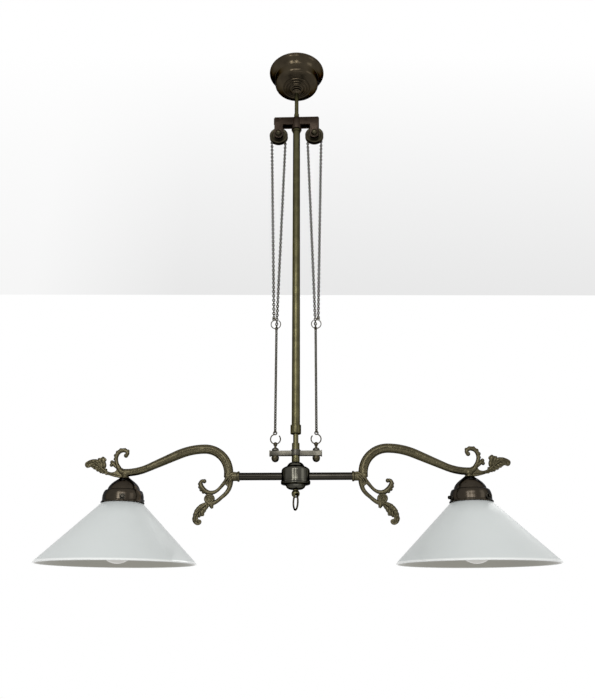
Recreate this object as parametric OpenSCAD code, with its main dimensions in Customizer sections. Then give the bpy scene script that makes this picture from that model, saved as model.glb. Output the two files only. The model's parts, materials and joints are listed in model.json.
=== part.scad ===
// Two-light rise and fall pendant: ceiling rose with a ball swivel, chain-and-pulley hanger,
// telescopic tube, hub, two cast scroll arms and two opal glass cone shades.
// Millimetres, +Z up. The origin is the middle of the face that lies on the ceiling.

/* [Overall] */
// Distance from the centre line to each shade's axis
arm_reach = 282; // [240:1:340]
// Length of the outer tube below the pulley bracket
outer_tube_len = 618; // [500:1:760]
// Distance from the swivel ball's centre to the top of the pulley bracket
rod_len = 73; // [60:1:160]

/* [Ceiling rose] */
// Diameter of the rose where it meets the ceiling
canopy_d = 114; // [100:1:140]
// Diameter of the rose's straight tier
canopy_tier_d = 90; // [80:1:96]
// Depth of the rose from the ceiling to its nose
canopy_h = 46; // [43:1:60]
// Sheet thickness of the rose
canopy_wall = 1; // [0.8:0.1:1.5]
// Distance between the two ceiling screw slots
strap_hole_pitch = 70; // [60:1:80]
// Length of each ceiling screw slot
strap_slot_len = 12; // [8:1:16]
// Width of each ceiling screw slot
strap_slot_w = 5.5; // [4:0.5:6]
// Diameter of the swivel ball
ball_d = 15; // [13:0.5:17]

/* [Pulleys] */
// Distance of each pulley axle from the centre line
axle_x = 36; // [32:1:44]
// Diameter of a pulley over its flanges
pulley_d = 37; // [34:0.5:42]
// Width of a pulley over its flanges
pulley_w = 9; // [8.5:0.5:11]
// Radius at which the chain runs round a pulley
chain_r = 14; // [13:0.5:15]
// Diameter of a pulley axle
axle_d = 5; // [4:0.5:6]
// Height of the pulley bracket's central boss
bracket_h = 25; // [22:1:30]
// Height of the bracket's beam between its legs
beam_h = 15; // [13:0.5:20]
// Wall thickness of the pulley bracket's cheeks
cheek_t = 2.5; // [2:0.5:3]

/* [Chain] */
// Outer diameter of a chain link
link_d = 6.7; // [6:0.1:7.4]
// Wire diameter of a chain link
link_wire = 1.1; // [0.9:0.1:1.3]
// Distance from the pulley axle down to the hook at the end of the chain
hook_drop = 404; // [300:1:440]

/* [Telescopic tube] */
// Outer diameter of the outer tube
outer_tube_d = 14.2; // [13:0.1:16]
// Outer diameter of the inner tube
inner_tube_d = 9; // [8:0.1:10]
// Wall thickness of both tubes
tube_wall = 0.8; // [0.6:0.1:1.1]
// Free rise of the lamp, from the collar down to the lower socket
rise_gap = 16; // [10:1:30]
// Lowest drop of the lamp below the height shown
drop_travel = 300; // [200:1:320]
// Length of the inner tube's grip inside the outer tube at the lowest drop
tube_grip = 45; // [30:1:80]
// Length of the lower socket, from its top to the hub
socket_len = 32; // [30:1:45]

/* [Hub and crossbar] */
// Diameter of the hub
hub_d = 46.8; // [42:0.2:54]
// Length of the crossbar that carries the chains
bar_len = 87.4; // [80:0.2:100]
// Height and depth of the crossbar
bar_t = 8; // [7:0.5:10]
// Distance of each chain stud from the centre line
stud_x = 34; // [30:1:38]
// Diameter of the horizontal pipes
pipe_d = 12.4; // [10:0.2:14]

/* [Arms] */
// Distance from the centre line to the mouth of an arm's socket
arm_start = 92.5; // [80:0.5:110]
// Diameter of an arm at its thick end
arm_d = 14.6; // [12:0.2:16]
// Diameter of an arm at its thin end
arm_tip_d = 11.6; // [10:0.2:13]
// Height of the arm's crest above the pipe's axis
crest_rise = 46; // [40:1:60]
// Angle at which the arm slopes down from its crest
arm_slope = 24; // [15:1:35]

/* [Shades and lamps] */
// Diameter of a glass shade at its rim
shade_d = 250; // [200:1:300]
// Height of a shade's cone
shade_h = 94; // [80:1:120]
// Thickness of the glass
glass_t = 3; // [2.5:0.5:4]
// Diameter of a shade's neck
neck_d = 58; // [56:0.5:60]
// Outer diameter of a gallery's straight wall
gallery_d = 66; // [64:0.5:70]
// Height of a gallery from its neck to its lip
gallery_h = 41; // [38:1:50]
// Diameter of a lamp bulb
bulb_d = 60; // [45:1:66]
// Length of a lamp bulb with its cap
bulb_len = 104; // [90:1:106]

/* [Hidden] */
$fn = 64;

// Clearances: between seated pieces, round a running shaft, and between bodies that move apart
seat = 0.1;
run = 0.05;
part_gap = 0.3;

// Ceiling rose: heights below the ceiling
strap_w = 18;
strap_t = 2;
strap_offset = 10;
strap_half = canopy_tier_d / 2 - 2;
strap_flat_x = 26;
nipple_r = 5;
nut_r = 8.5;
nut_h = 4;
nipple_top = -strap_offset + nut_h + 1.5;
ball_r = ball_d / 2;
cup_wall = 1.8;
cup_bore_r = ball_r + seat;
cup_r = cup_bore_r + cup_wall;
cup_lip_angle = 62;
z_ball = -canopy_h - 3;
cup_bottom = z_ball - cup_bore_r * cos(cup_lip_angle);
plug_h = 6;
cup_top = z_ball + ball_r + plug_h + 3;
nose_r = cup_r + seat;
ring_nut_r = cup_r + 2.2;
ring_nut_h = 2.6;
ring_nut_top = -canopy_h - seat;

// Suspension rod and pulley bracket
rod_r = 4;
rod_bore = 2.6;
z_bracket = z_ball - rod_len;
plate_t = 2;
bracket_top = z_bracket - plate_t;
bracket_bottom = bracket_top - bracket_h;
web_t = 5;
bracket_half = axle_x + 9.9;
leg_r = 8.5;
z_axle = bracket_top - 40;
cheek_in = pulley_w / 2 + 0.7;
cheek_out = cheek_in + cheek_t;
boss_r = 10.3;
screw_r = 1.5;

// Tubes, collar, lower socket
tube_r = outer_tube_d / 2;
tube_bore = tube_r - tube_wall;
rod_r2 = inner_tube_d / 2;
tube_top = bracket_top - 12;
tube_bottom = bracket_bottom - outer_tube_len;
collar_r = tube_r + 1.9;
collar_top = tube_bottom + 2;
collar_h = 15;
collar_bottom = collar_top - collar_h;
z_socket = collar_bottom - rise_gap;
z_hub = z_socket - socket_len;
socket_r = inner_tube_d / 2 + 1.9;
shoulder_r = socket_r + 0.25;
z_bar = z_socket - 17;
inner_top = tube_bottom + drop_travel + tube_grip;

// Hub: radii and heights below its top
hub_r = hub_d / 2;
hub_wall = 2.4;
hub_h = 34;
z_pipe = z_hub - 23;
hub_mouth = z_hub - hub_h;
pipe_r = pipe_d / 2;
finial_r = 6.7;
cover_h = 10.5;
z_finial = hub_mouth - cover_h - 6.5;
ring_turn = 19;
pull_r = 12.2;
pull_wire = 1.5;
z_ring_hole = z_finial - 2.2;
z_pull_ring = z_finial - 1.3 - pull_r;

// Chain studs and hooks
stud_ball_r = 3.6;
stud_r = 2;
hook_wire = 1;
hook_ring_r = 8.3;
hook_eye_r = 2.7;
hook_turn = 86;
z_stud_ball = z_bar + bar_t / 2 + 11.5;
z_hook_hole = z_stud_ball + 0.7;
z_ring_hook = z_hook_hole - 0.3 + hook_ring_r;

// Hook at the end of the chain: its ring grips the standing strand, its eye leans outwards
end_wire = 0.8;
end_ring_r = 8.6;
end_eye_r = 2.3;
end_eye_angle = 70;
grip_angle = 262;
z_grip = z_axle - hook_drop - 2 * end_ring_r - end_eye_r;
grip_x = axle_x - 1;
end_ring = [grip_x, z_grip] - end_ring_r * [cos(grip_angle), sin(grip_angle)];
end_eye = end_ring + (end_ring_r + end_eye_r - 0.6 * end_wire) * [cos(end_eye_angle), sin(end_eye_angle)];

// Chain: link size, and the two stretches of the chain on the right-hand side
link_r = (link_d - link_wire) / 2;
link_pitch = link_d - 2 * link_wire - 0.1;
eye_rise = 0.6;
hook_eye = [stud_x, z_ring_hook]
    + (hook_ring_r + hook_eye_r - 0.6 * hook_wire) * [cos(hook_turn), sin(hook_turn)];

// Arms
arm_r = arm_d / 2;
arm_tip_r = arm_tip_d / 2;
wire_way = 3;
root_turn_r = 41.5;
root_x = arm_start + 18;
crest_x = root_x + root_turn_r;
z_crest = z_pipe + crest_rise;
crest_r = 110;
tip_turn_r = 91;
slope_len = (arm_reach - crest_x - (crest_r + tip_turn_r) * sin(arm_slope)) / cos(arm_slope);
z_arm_end = z_crest - (crest_r + tip_turn_r) * (1 - cos(arm_slope)) - slope_len * sin(arm_slope);
casting_t = 6;
boss_neck_r = 6.8;
holder_nut_r = 7.6;

// Shades, galleries and lamps
z_gallery = z_arm_end - 9;
gallery_r = gallery_d / 2;
gallery_t = 1;
gallery_lip_r = gallery_r + 1.8;
z_lip = z_gallery - gallery_h;
neck_r = neck_d / 2;
shade_r = shade_d / 2;
z_shade_top = z_lip - 0.4;
z_rim = z_shade_top - shade_h;
neck_h = 16;
shoulder_out = gallery_r + 0.5;
shade_screw_r = 1.5;
screw_drop = 7;
left_screw_angles = [-76, 44, 164];
right_screw_angles = [190, -50, 70];
holder_r = 19.5;
z_holder = z_gallery - 16;
holder_h = 43;
cap_r = 13;
cap_h = 25;
z_bulb = z_rim + 1;
z_bulb_top = z_bulb + bulb_len;
bulb_r = bulb_d / 2;

// Points on an arc about c, radius r, from angle a0 to a1
function arc(c, r, a0, a1, n = 10) =
    [for (i = [0:n]) let(a = a0 + (a1 - a0) * i / n) c + r * [cos(a), sin(a)]];

// Smooth curve through the points p, with n steps for each span
function spline_at(p, i, t) =
    let(a = p[max(i - 1, 0)], b = p[i], c = p[i + 1], d = p[min(i + 2, len(p) - 1)])
    0.5 * (2 * b + (c - a) * t + (2 * a - 5 * b + 4 * c - d) * t * t
        + (3 * b - a - 3 * c + d) * t * t * t);
function spline(p, n = 4) =
    [for (i = [0:len(p) - 2], k = [0:n - 1]) spline_at(p, i, k / n), p[len(p) - 1]];

// Closed smooth curve through the points p
function loop(p, n = 3) =
    let(m = len(p), q = concat([p[m - 1]], p, [p[0], p[1]]))
    [for (i = [1:m], k = [0:n - 1]) spline_at(q, i, k / n)];

// Unit normal of the path q at its point i
function path_normal(q, i) =
    let(a = q[max(i - 1, 0)], b = q[min(i + 1, len(q) - 1)], d = (b - a) / norm(b - a))
    [-d[1], d[0]];

// Outline of a band along the smooth path p whose half width runs from w0 through w1 to w2
function band(p, w0, w1, w2, n = 4) =
    let(q = spline(p, n), m = len(q) - 1,
        w = [for (i = [0:m]) let(t = i / m)
            t < 0.5 ? w0 + (w1 - w0) * 2 * t : w1 + (w2 - w1) * (2 * t - 1)])
    concat([for (i = [0:m]) q[i] + w[i] * path_normal(q, i)],
        [for (i = [m:-1:0]) q[i] - w[i] * path_normal(q, i)]);

// A turned piece from an outline of [radius, height] points
module turned(p) rotate_extrude() polygon(p);

// A turned piece whose axis lies along Y, facing the front
module turned_y(p) rotate([90, 0, 0]) rotate_extrude() polygon(p);

// A plate cut from an outline in the X-Z plane, t thick, centred on Y
module plate_xz(t) rotate([90, 0, 0]) linear_extrude(t, center = true) children();

// A hexagonal nut or head of corner radius r, height h, bored to radius bore
module hex_nut(r, h, bore) difference() {
    cylinder(r = r, h = h, $fn = 6);
    translate([0, 0, -1]) cylinder(r = bore, h = h + 2);
}

// A hollow tube from height z0 down to z1
module pipe_z(z0, z1, r, bore) translate([0, 0, z1]) difference() {
    cylinder(r = r, h = z0 - z1);
    translate([0, 0, -1]) cylinder(r = bore, h = z0 - z1 + 2);
}

// --- Ceiling rose -------------------------------------------------------------------------

module ceiling_strap() color("silver") difference() {
    half = strap_half;
    plate_xz(strap_w) polygon([[-half, 0], [-half, -strap_t], [-strap_flat_x, -strap_t],
        [-strap_flat_x + 6, -strap_offset - strap_t], [strap_flat_x - 6, -strap_offset - strap_t],
        [strap_flat_x, -strap_t], [half, -strap_t], [half, 0], [strap_flat_x - 1.3, 0],
        [strap_flat_x - 7.3, -strap_offset], [-strap_flat_x + 7.3, -strap_offset],
        [-strap_flat_x + 1.3, 0]]);
    for (s = [-1, 1]) translate([s * strap_hole_pitch / 2, 0, -strap_t - 1]) {
        for (e = [-1, 1]) translate([e * (strap_slot_len - strap_slot_w) / 2, 0, 0])
            cylinder(d = strap_slot_w, h = strap_t + 2);
        translate([-(strap_slot_len - strap_slot_w) / 2, -strap_slot_w / 2, 0])
            cube([strap_slot_len - strap_slot_w, strap_slot_w, strap_t + 2]);
    }
    translate([0, 0, -strap_offset - strap_t - 1]) cylinder(r = nipple_r + seat, h = strap_t + 2);
}

module strap_nipple() color("goldenrod")
    pipe_z(nipple_top, cup_top - plug_h - 0.5, nipple_r, nipple_r - 1.5);

module nipple_nuts() color("silver") {
    translate([0, 0, -strap_offset]) hex_nut(nut_r, nut_h, nipple_r + seat);
    translate([0, 0, -strap_offset - strap_t - nut_h]) hex_nut(nut_r, nut_h, nipple_r + seat);
}

module terminal_block() color("ivory") difference() {
    translate([10.5, -9, -strap_offset - strap_t - 9]) cube([9, 18, 9]);
    for (y = [-6, 0, 6]) {
        translate([9, y, -strap_offset - strap_t - 5.5]) rotate([0, 90, 0])
            cylinder(d = 3, h = 12);
        translate([15, y, -strap_offset - strap_t - 10]) cylinder(d = 2.4, h = 4.5);
    }
}

module socket_plug() color("goldenrod") difference() {
    translate([0, 0, cup_top - plug_h]) union() {
        cylinder(r = cup_bore_r - seat, h = plug_h);
        translate([0, 0, plug_h]) cylinder(r = cup_r, h = 2);
    }
    translate([0, 0, cup_top - plug_h - 1]) cylinder(r = nipple_r + seat, h = plug_h + 4);
}

module ball_socket() color("goldenrod") turned(concat(
    arc([0, z_ball], cup_bore_r, -90 + cup_lip_angle, 0, 8),
    [[cup_bore_r, cup_top], [cup_r, cup_top], [cup_r, -canopy_h + canopy_wall + 2],
    [cup_r + 2, -canopy_h + canopy_wall + 2], [cup_r + 2, -canopy_h + canopy_wall + seat],
    [cup_r, -canopy_h + canopy_wall + seat], [cup_r, cup_bottom + 1.2],
    [cup_r - 1.2, cup_bottom]]));

// Outer outline of the rose from the ceiling to its nose, drawn in by the thickness t
function canopy_line(t) =
    let(r0 = canopy_d / 2 - t, r1 = canopy_tier_d / 2 - t, z0 = -0.5, h = canopy_h)
    concat([[r0, z0], [r0, z0 - 2.2 + t / 2]],
        spline([[r0 - 2.5, z0 - 5 + t / 2], [r0 - 8, z0 - 9.5 + t / 2], [r1 + 1, z0 - 13 + t / 2]], 4),
        [[r1 + 1, -16 + t], [r1, -16.5 + t]],
        arc([r1 - 7, -(h - 16) + t], 7, 0, -50, 5),
        [[28, -h + 5 + t], [27, -h + 3.6 + t], [22, -h + 3.1 + t], [21.3, -h + 2.1 + t],
        [17, -h + 1.6 + t], [16.3, -h + 0.6 + t], [13, -h + t]]);

module canopy_cup() color([0.27, 0.24, 0.19]) turned(concat(
    canopy_line(0), [[nose_r, -canopy_h], [nose_r, -canopy_h + canopy_wall]],
    [for (i = [len(canopy_line(canopy_wall)) - 1:-1:0]) canopy_line(canopy_wall)[i]]));

module canopy_ring_nut() color([0.27, 0.24, 0.19]) turned([[nose_r, ring_nut_top],
    [ring_nut_r, ring_nut_top], [ring_nut_r, ring_nut_top - ring_nut_h + 1],
    [ring_nut_r - 1, ring_nut_top - ring_nut_h], [nose_r, ring_nut_top - ring_nut_h]]);

module swivel_ball() color([0.3, 0.28, 0.2]) difference() {
    translate([0, 0, z_ball]) sphere(r = ball_r);
    translate([0, 0, z_ball - ball_r - 1]) cylinder(r = rod_r + run, h = ball_d + 2);
    translate([0, 0, z_ball + ball_r - 3]) cylinder(r = ball_r, h = 4);
}

// --- Rod, bracket and pulleys -------------------------------------------------------------

module suspension_rod() color([0.36, 0.34, 0.22]) difference() {
    union() {
        translate([0, 0, z_bracket - plate_t - web_t - 3])
            cylinder(r = rod_r, h = z_ball + ball_r - 3 + 2.4 - z_bracket + plate_t + web_t + 3);
    }
    translate([0, 0, z_bracket - 30]) cylinder(r = rod_bore, h = rod_len + 60);
}

module rod_lock_nut() color("goldenrod") translate([0, 0, z_ball + ball_r - 3 + 0.05])
    difference() {
        cylinder(r = ball_r - 1.6, h = 2.2);
        translate([0, 0, -1]) cylinder(r = rod_r + seat, h = 5);
    }

module rod_foot() color([0.36, 0.34, 0.22]) turned([[rod_r + seat, z_bracket],
    [6.2, z_bracket], [6.2, z_bracket + 2], [5.2, z_bracket + 5], [4.9, z_bracket + 13],
    [rod_r + seat, z_bracket + 14]]);

// Side view of the bracket: a beam with one leg over each axle
module bracket_side() {
    translate([-bracket_half, bracket_top - beam_h]) square([2 * bracket_half, beam_h]);
    for (s = [-1, 1]) {
        translate([s * axle_x, z_axle]) circle(r = leg_r);
        translate([s * axle_x - leg_r, z_axle]) square([2 * leg_r, bracket_top - z_axle]);
    }
}

module pulley_bracket() color([0.24, 0.19, 0.17]) difference() {
    union() {
        for (s = [-1, 1]) translate([0, s * (cheek_in + cheek_out) / 2, 0])
            plate_xz(cheek_t) bracket_side();
        translate([-bracket_half, -cheek_in - 0.5, bracket_top - web_t])
            cube([2 * bracket_half, 2 * cheek_in + 1, web_t]);
        translate([0, 0, bracket_bottom]) cylinder(r = boss_r, h = bracket_h);
    }
    for (s = [-1, 1]) {
        translate([s * axle_x, cheek_out + 1, z_axle]) rotate([90, 0, 0])
            cylinder(d = axle_d + 2 * seat, h = 2 * cheek_out + 2);
        translate([s * axle_x, 0, bracket_top - web_t - 1])
            cylinder(r = screw_r + seat, h = web_t + 2);
    }
    translate([0, 0, bracket_bottom - 1]) cylinder(r = tube_r + seat, h = tube_top - bracket_bottom + 1 + seat);
    translate([0, 0, bracket_bottom]) cylinder(r = rod_r + seat, h = bracket_h + 1);
}

module bracket_cover_plate() color([0.15, 0.13, 0.11]) difference() {
    translate([-bracket_half + 1.2, -cheek_out - 0.4, bracket_top])
        cube([2 * bracket_half - 2.4, 2 * cheek_out + 0.8, plate_t]);
    translate([0, 0, bracket_top - 1]) cylinder(r = rod_r + seat, h = plate_t + 2);
    for (s = [-1, 1]) translate([s * axle_x, 0, bracket_top - 1])
        cylinder(r = screw_r + seat, h = plate_t + 2);
}

module cover_screws() color([0.2, 0.17, 0.14])
    for (s = [-1, 1]) translate([s * axle_x, 0, 0]) turned(concat(
        [[0, bracket_top - web_t], [screw_r, bracket_top - web_t], [screw_r, z_bracket],
        [3.2, z_bracket]], arc([0, z_bracket - 1.2], 3.4, 24, 90, 5)));

module axle_at(x) color([0.45, 0.4, 0.25]) translate([x, 0, z_axle]) {
    rotate([90, 0, 0]) translate([0, 0, -cheek_out]) cylinder(d = axle_d, h = 2 * cheek_out + 7);
    rotate([-90, 0, 0]) translate([0, 0, cheek_out]) cylinder(r = 5, h = 3.5, $fn = 6);
}
module left_axle() axle_at(-axle_x);
module right_axle() axle_at(axle_x);

module axle_cap_nuts() color([0.3, 0.27, 0.2])
    for (s = [-1, 1]) translate([s * axle_x, -cheek_out, z_axle]) turned_y(concat(
        [[axle_d / 2 + seat, 0], [6.8, 0], [6.8, 1.2], [6, 1.6]],
        arc([0, 4], 6, 0, 90, 7),
        [[0, axle_d / 2 + 5.2], [axle_d / 2 + seat, 7.1]]));

// Grooved wheel; the groove is wide and deep enough for the chain's links at 45 degrees
module pulley_at(x) color([0.22, 0.2, 0.15]) translate([x, 0, z_axle]) {
    r = pulley_d / 2;
    w = pulley_w / 2;
    bore = axle_d / 2 + run;
    groove_r = chain_r - link_d / 2 - 0.35;
    groove_w = link_d / 2 - 0.25;
    hub_w = cheek_in - part_gap;
    turned_y([[bore, -hub_w], [6, -hub_w], [6, -w + 1.2], [12.5, -w + 1.2], [13.2, -w + 0.4],
        [14.5, -w + 0.4], [15.2, -w], [r - 0.6, -w], [r, -w + 0.5], [r, -groove_w - 0.35],
        [groove_r + 1, -groove_w], [groove_r, -groove_w + 1], [groove_r, groove_w - 1],
        [groove_r + 1, groove_w], [r, groove_w + 0.35], [r, w - 0.5], [r - 0.6, w], [15.2, w],
        [14.5, w - 0.4], [13.2, w - 0.4], [12.5, w - 1.2], [6, w - 1.2], [6, hub_w], [bore, hub_w]]);
}
module left_pulley() pulley_at(-axle_x);
module right_pulley() pulley_at(axle_x);

// --- Chains and hooks ---------------------------------------------------------------------

// Route of the chain on the right: up from the lower hook to the grip of the end hook, then
// over the pulley and down to the end hook's eye, each stretch a whole number of links
low_route = [hook_eye + [0, hook_eye_r + eye_rise], [grip_x, z_grip]];
top_route = concat([[grip_x, z_grip]], arc([axle_x, z_axle], chain_r, 180, 0, 16),
    [end_eye + [0.1, end_eye_r + eye_rise]]);
function route_len(p, n) = n == 0 ? 0 : norm(p[n] - p[n - 1]) + route_len(p, n - 1);
low_links = ceil(route_len(low_route, 1) / link_pitch);
low_step = route_len(low_route, 1) / low_links;
top_links = ceil(route_len(top_route, len(top_route) - 1) / link_pitch);
top_step = route_len(top_route, len(top_route) - 1) / top_links;

// Point and direction at the distance s along the route p
function along(p, s, i = 1) =
    let(d = norm(p[i] - p[i - 1]))
    (s <= d || i == len(p) - 1)
        ? [p[i - 1] + (p[i] - p[i - 1]) * s / d, (p[i] - p[i - 1]) / d]
        : along(p, s - d, i + 1);

// One round link whose long way follows the direction d in the X-Z plane
module link_at(c, d, turn) translate([c[0], 0, c[1]])
    rotate([0, -atan2(d[1], d[0]), 0]) rotate([90 + turn, 0, 0])
    rotate_extrude($fn = 24) translate([link_r, 0]) circle(d = link_wire, $fn = 14);

// Link number i of a route, each turned square to the one before it
module link_on(p, i, step, first) {
    at = along(p, i * step);
    link_at(at[0], at[1], (i + first) % 2 == 0 ? 45 : -45);
}

module chain_at(side) color([0.33, 0.3, 0.22]) mirror([side < 0 ? 1 : 0, 0, 0]) {
    for (i = [0:low_links - 1]) link_on(low_route, i, low_step, 0);
    for (i = [0:top_links]) link_on(top_route, i, top_step, low_links);
}
module left_chain() chain_at(-1);
module right_chain() chain_at(1);

// A bent wire hook in the X-Z plane about the ring centre c: an open ring with a closed eye at
// the angle turn, and the ring's gap after it
module wire_hook(c, ring_r, eye_r, wire, turn, gap, side) color([0.25, 0.23, 0.17])
    mirror([side < 0 ? 1 : 0, 0, 0]) translate([c[0], 0, c[1]]) rotate([90, 0, 0]) {
        rotate([0, 0, turn + gap]) rotate_extrude(angle = 360 - gap)
            translate([ring_r, 0]) circle(r = wire, $fn = 36);
        translate((ring_r + eye_r - wire * 0.6) * [cos(turn), sin(turn)]) rotate_extrude()
            translate([eye_r, 0]) circle(r = wire, $fn = 36);
    }
module ring_hook_at(side)
    wire_hook([stud_x, z_ring_hook], hook_ring_r, hook_eye_r, hook_wire, hook_turn, 50, side);
module left_ring_hook() ring_hook_at(-1);
module right_ring_hook() ring_hook_at(1);
module chain_hook_at(side)
    wire_hook(end_ring, end_ring_r, end_eye_r, end_wire, end_eye_angle, 56, side);
module left_chain_hook() chain_hook_at(-1);
module right_chain_hook() chain_hook_at(1);

// --- Telescopic tube ----------------------------------------------------------------------

module outer_tube() color([0.38, 0.36, 0.24]) union() {
    pipe_z(tube_top, tube_bottom, tube_r, tube_bore);
    pipe_z(bracket_bottom - seat, bracket_bottom - 5, tube_r + 1.1, tube_r - 0.3);
}

module tube_collar() color([0.38, 0.35, 0.22]) difference() {
    pipe_z(collar_top, collar_bottom, collar_r, rod_r2 + 0.6);
    translate([0, 0, tube_bottom]) cylinder(r = tube_r + seat, h = 10);
    translate([0, 0, collar_bottom + 3]) cylinder(r = tube_bore - seat, h = collar_h);
}

module guide_bush() color("ivory")
    pipe_z(tube_bottom + tube_grip - 6.5, collar_bottom + 3, tube_bore - 2 * seat, rod_r2 + run);

module inner_tube() color([0.42, 0.4, 0.28])
    pipe_z(inner_top, z_hub - 9, rod_r2, rod_r2 - tube_wall);

module tube_stop() color("goldenrod")
    pipe_z(inner_top + 2, inner_top - 6, tube_bore - 0.25, rod_r2 + seat);

module tube_socket() color([0.4, 0.38, 0.26]) difference() {
    union() {
        pipe_z(z_socket, z_hub + seat, socket_r, rod_r2 + seat);
        pipe_z(z_bar - bar_t / 2 - seat, z_hub + seat, shoulder_r, rod_r2 + seat);
    }
    translate([0, 0, z_socket - 0.8]) cylinder(r = rod_r2 + 0.8, h = 2);
}

// --- Crossbar, studs and nuts -------------------------------------------------------------

module crossbar() color([0.42, 0.4, 0.33]) difference() {
    union() {
        translate([-bar_len / 2, -bar_t / 2, z_bar - bar_t / 2]) cube([bar_len, bar_t, bar_t]);
        for (s = [-1, 1]) translate([s * (bar_len / 2 - 1) - 1, -bar_t / 2 - 0.6, z_bar - bar_t / 2 - 0.6])
            cube([2, bar_t + 1.2, bar_t + 1.2]);
        translate([0, 0, z_bar - bar_t / 2]) cylinder(r = socket_r + 1.4, h = bar_t);
    }
    translate([0, 0, z_bar - bar_t]) cylinder(r = socket_r + seat, h = 2 * bar_t);
    for (s = [-1, 1]) translate([s * stud_x, 0, z_bar - bar_t])
        cylinder(r = stud_r + seat, h = 2 * bar_t);
}

module bar_washer() color([0.6, 0.56, 0.42])
    pipe_z(z_bar + bar_t / 2 + 1.5, z_bar + bar_t / 2, socket_r + 1.9, socket_r + seat);

module eye_stud_at(x) color([0.2, 0.18, 0.14]) translate([x, 0, 0]) difference() {
    union() {
        translate([0, 0, z_stud_ball]) sphere(r = stud_ball_r);
        translate([0, 0, z_bar - bar_t / 2 - 6]) cylinder(r = stud_r, h = z_stud_ball - z_bar + bar_t / 2 + 6);
    }
    translate([-8, 0, z_hook_hole]) rotate([0, 90, 0]) cylinder(r = 1.9, h = 16);
}
module left_eye_stud() eye_stud_at(-stud_x);
module right_eye_stud() eye_stud_at(stud_x);

module bell_nuts() color([0.4, 0.38, 0.3])
    for (s = [-1, 1]) translate([s * stud_x, 0, z_bar + bar_t / 2]) turned(concat(
        [[stud_r + seat, 0], [6, 0], [6, 1.2]], arc([stud_r + 0.4, 1.8], 3.4, 0, 90, 6),
        [[stud_r + seat, 5.2]]));

module acorn_nuts() color([0.28, 0.26, 0.2])
    for (s = [-1, 1]) translate([s * stud_x, 0, z_bar - bar_t / 2]) mirror([0, 0, 1])
        difference() {
            turned(concat([[0, 0], [5.2, 0], [5.2, 1], [6.3, 1.6], [6.3, 4.4]],
                arc([0, 4.4], 6.3, 10, 90, 8)));
            translate([0, 0, -1]) cylinder(r = stud_r + seat, h = 8);
        }

// --- Hub ----------------------------------------------------------------------------------

// Outline of the hub from its top down to its open mouth, drawn in by the thickness t
function hub_line(t) =
    [[6 - t / 2, -t], [10.5 - t / 2, -1 - t], [13.2 - t, -4 - t], [14.5 - t, -6 - t],
    [16 - t, -7.2 - t], [hub_r - 2.5 - t / 2, -10.3 - t], [hub_r - t, -13], [hub_r - t, -hub_h]];

module hub_body() color([0.3, 0.3, 0.27]) difference() {
    union() {
        translate([0, 0, z_hub]) turned(concat([[0, 0]], hub_line(0), [[0, -hub_h]]));
        translate([0, 0, hub_mouth]) cylinder(r = hub_r + 0.8, h = 3);
    }
    difference() {
        translate([0, 0, z_hub]) turned(concat([[0, -hub_wall]], hub_line(hub_wall),
            [[hub_r - hub_wall, -hub_h - 1], [0, -hub_h - 1]]));
        translate([0, 0, z_hub - 10]) cylinder(r = 8, h = 10);
    }
    translate([0, 0, z_hub - 20]) cylinder(r = rod_r2 + seat, h = 30);
    for (s = [-1, 1]) translate([0, 0, z_pipe]) rotate([0, s * 90, 0])
        cylinder(r = pipe_r + seat, h = hub_r + 2);
}

module hub_cover() color([0.2, 0.18, 0.14]) difference() {
    translate([0, 0, hub_mouth]) turned(concat([[0, -seat], [hub_r + 0.6, -seat],
        [hub_r + 0.6, -1.5], [16.8, -3.4]], arc([8.1, -3.4], 8, -10, -72, 6),
        [[5.6, -cover_h], [0, -cover_h]]));
    translate([0, 0, hub_mouth - cover_h - 1]) cylinder(r = 2.6, h = cover_h + 3);
    translate([0, 0, hub_mouth - 3]) cylinder(r = 12, h = 4);
}

module hub_terminal() color("ivory") difference() {
    translate([-9, -5, hub_mouth - 3]) cube([18, 10, 8]);
    for (x = [-6, 0, 6]) {
        translate([x, -6, hub_mouth + 1.5]) rotate([-90, 0, 0]) cylinder(d = 2.6, h = 12);
        translate([x, 0, hub_mouth + 2]) cylinder(d = 2.4, h = 4);
    }
}

module finial() color([0.4, 0.38, 0.26]) difference() {
    union() {
        translate([0, 0, z_finial]) sphere(r = finial_r);
        translate([0, 0, z_finial]) cylinder(r = 4.6, h = hub_mouth - cover_h - z_finial - seat);
        translate([0, 0, z_finial]) cylinder(r = 2.5, h = hub_mouth - z_finial - 3.4);
    }
    rotate([0, 0, ring_turn]) translate([0, -10, z_ring_hole]) rotate([-90, 0, 0])
        cylinder(r = 2.9, h = 20);
}

module pull_ring() color([0.3, 0.28, 0.2]) rotate([0, 0, ring_turn])
    translate([0, 0, z_pull_ring]) rotate([0, 90, 0]) rotate_extrude()
    translate([pull_r, 0]) circle(r = pull_wire);

module pipe_at(side) color([0.07, 0.07, 0.05]) translate([0, 0, z_pipe])
    rotate([0, side * 90, 0]) difference() {
        translate([0, 0, hub_r - hub_wall - 2]) cylinder(r = pipe_r, h = arm_start + 8 - hub_r + hub_wall + 2);
        translate([0, 0, 1]) cylinder(r = pipe_r - 1.2, h = arm_start + 20);
    }
module left_pipe() pipe_at(-1);
module right_pipe() pipe_at(1);

// --- Arms ---------------------------------------------------------------------------------

// One bent stretch of round bar in the X-Z plane about the centre c, cut 0.3 mm short at each
// end so that it ends inside the bead there
module bend(c, turn_r, r, a0, a1) translate([c[0], 0, c[1]]) rotate([90, 0, 0])
    rotate([0, 0, a0 + 17 / turn_r]) rotate_extrude(angle = a1 - a0 - 34 / turn_r)
    translate([turn_r, 0]) circle(r = r, $fn = 32);

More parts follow.
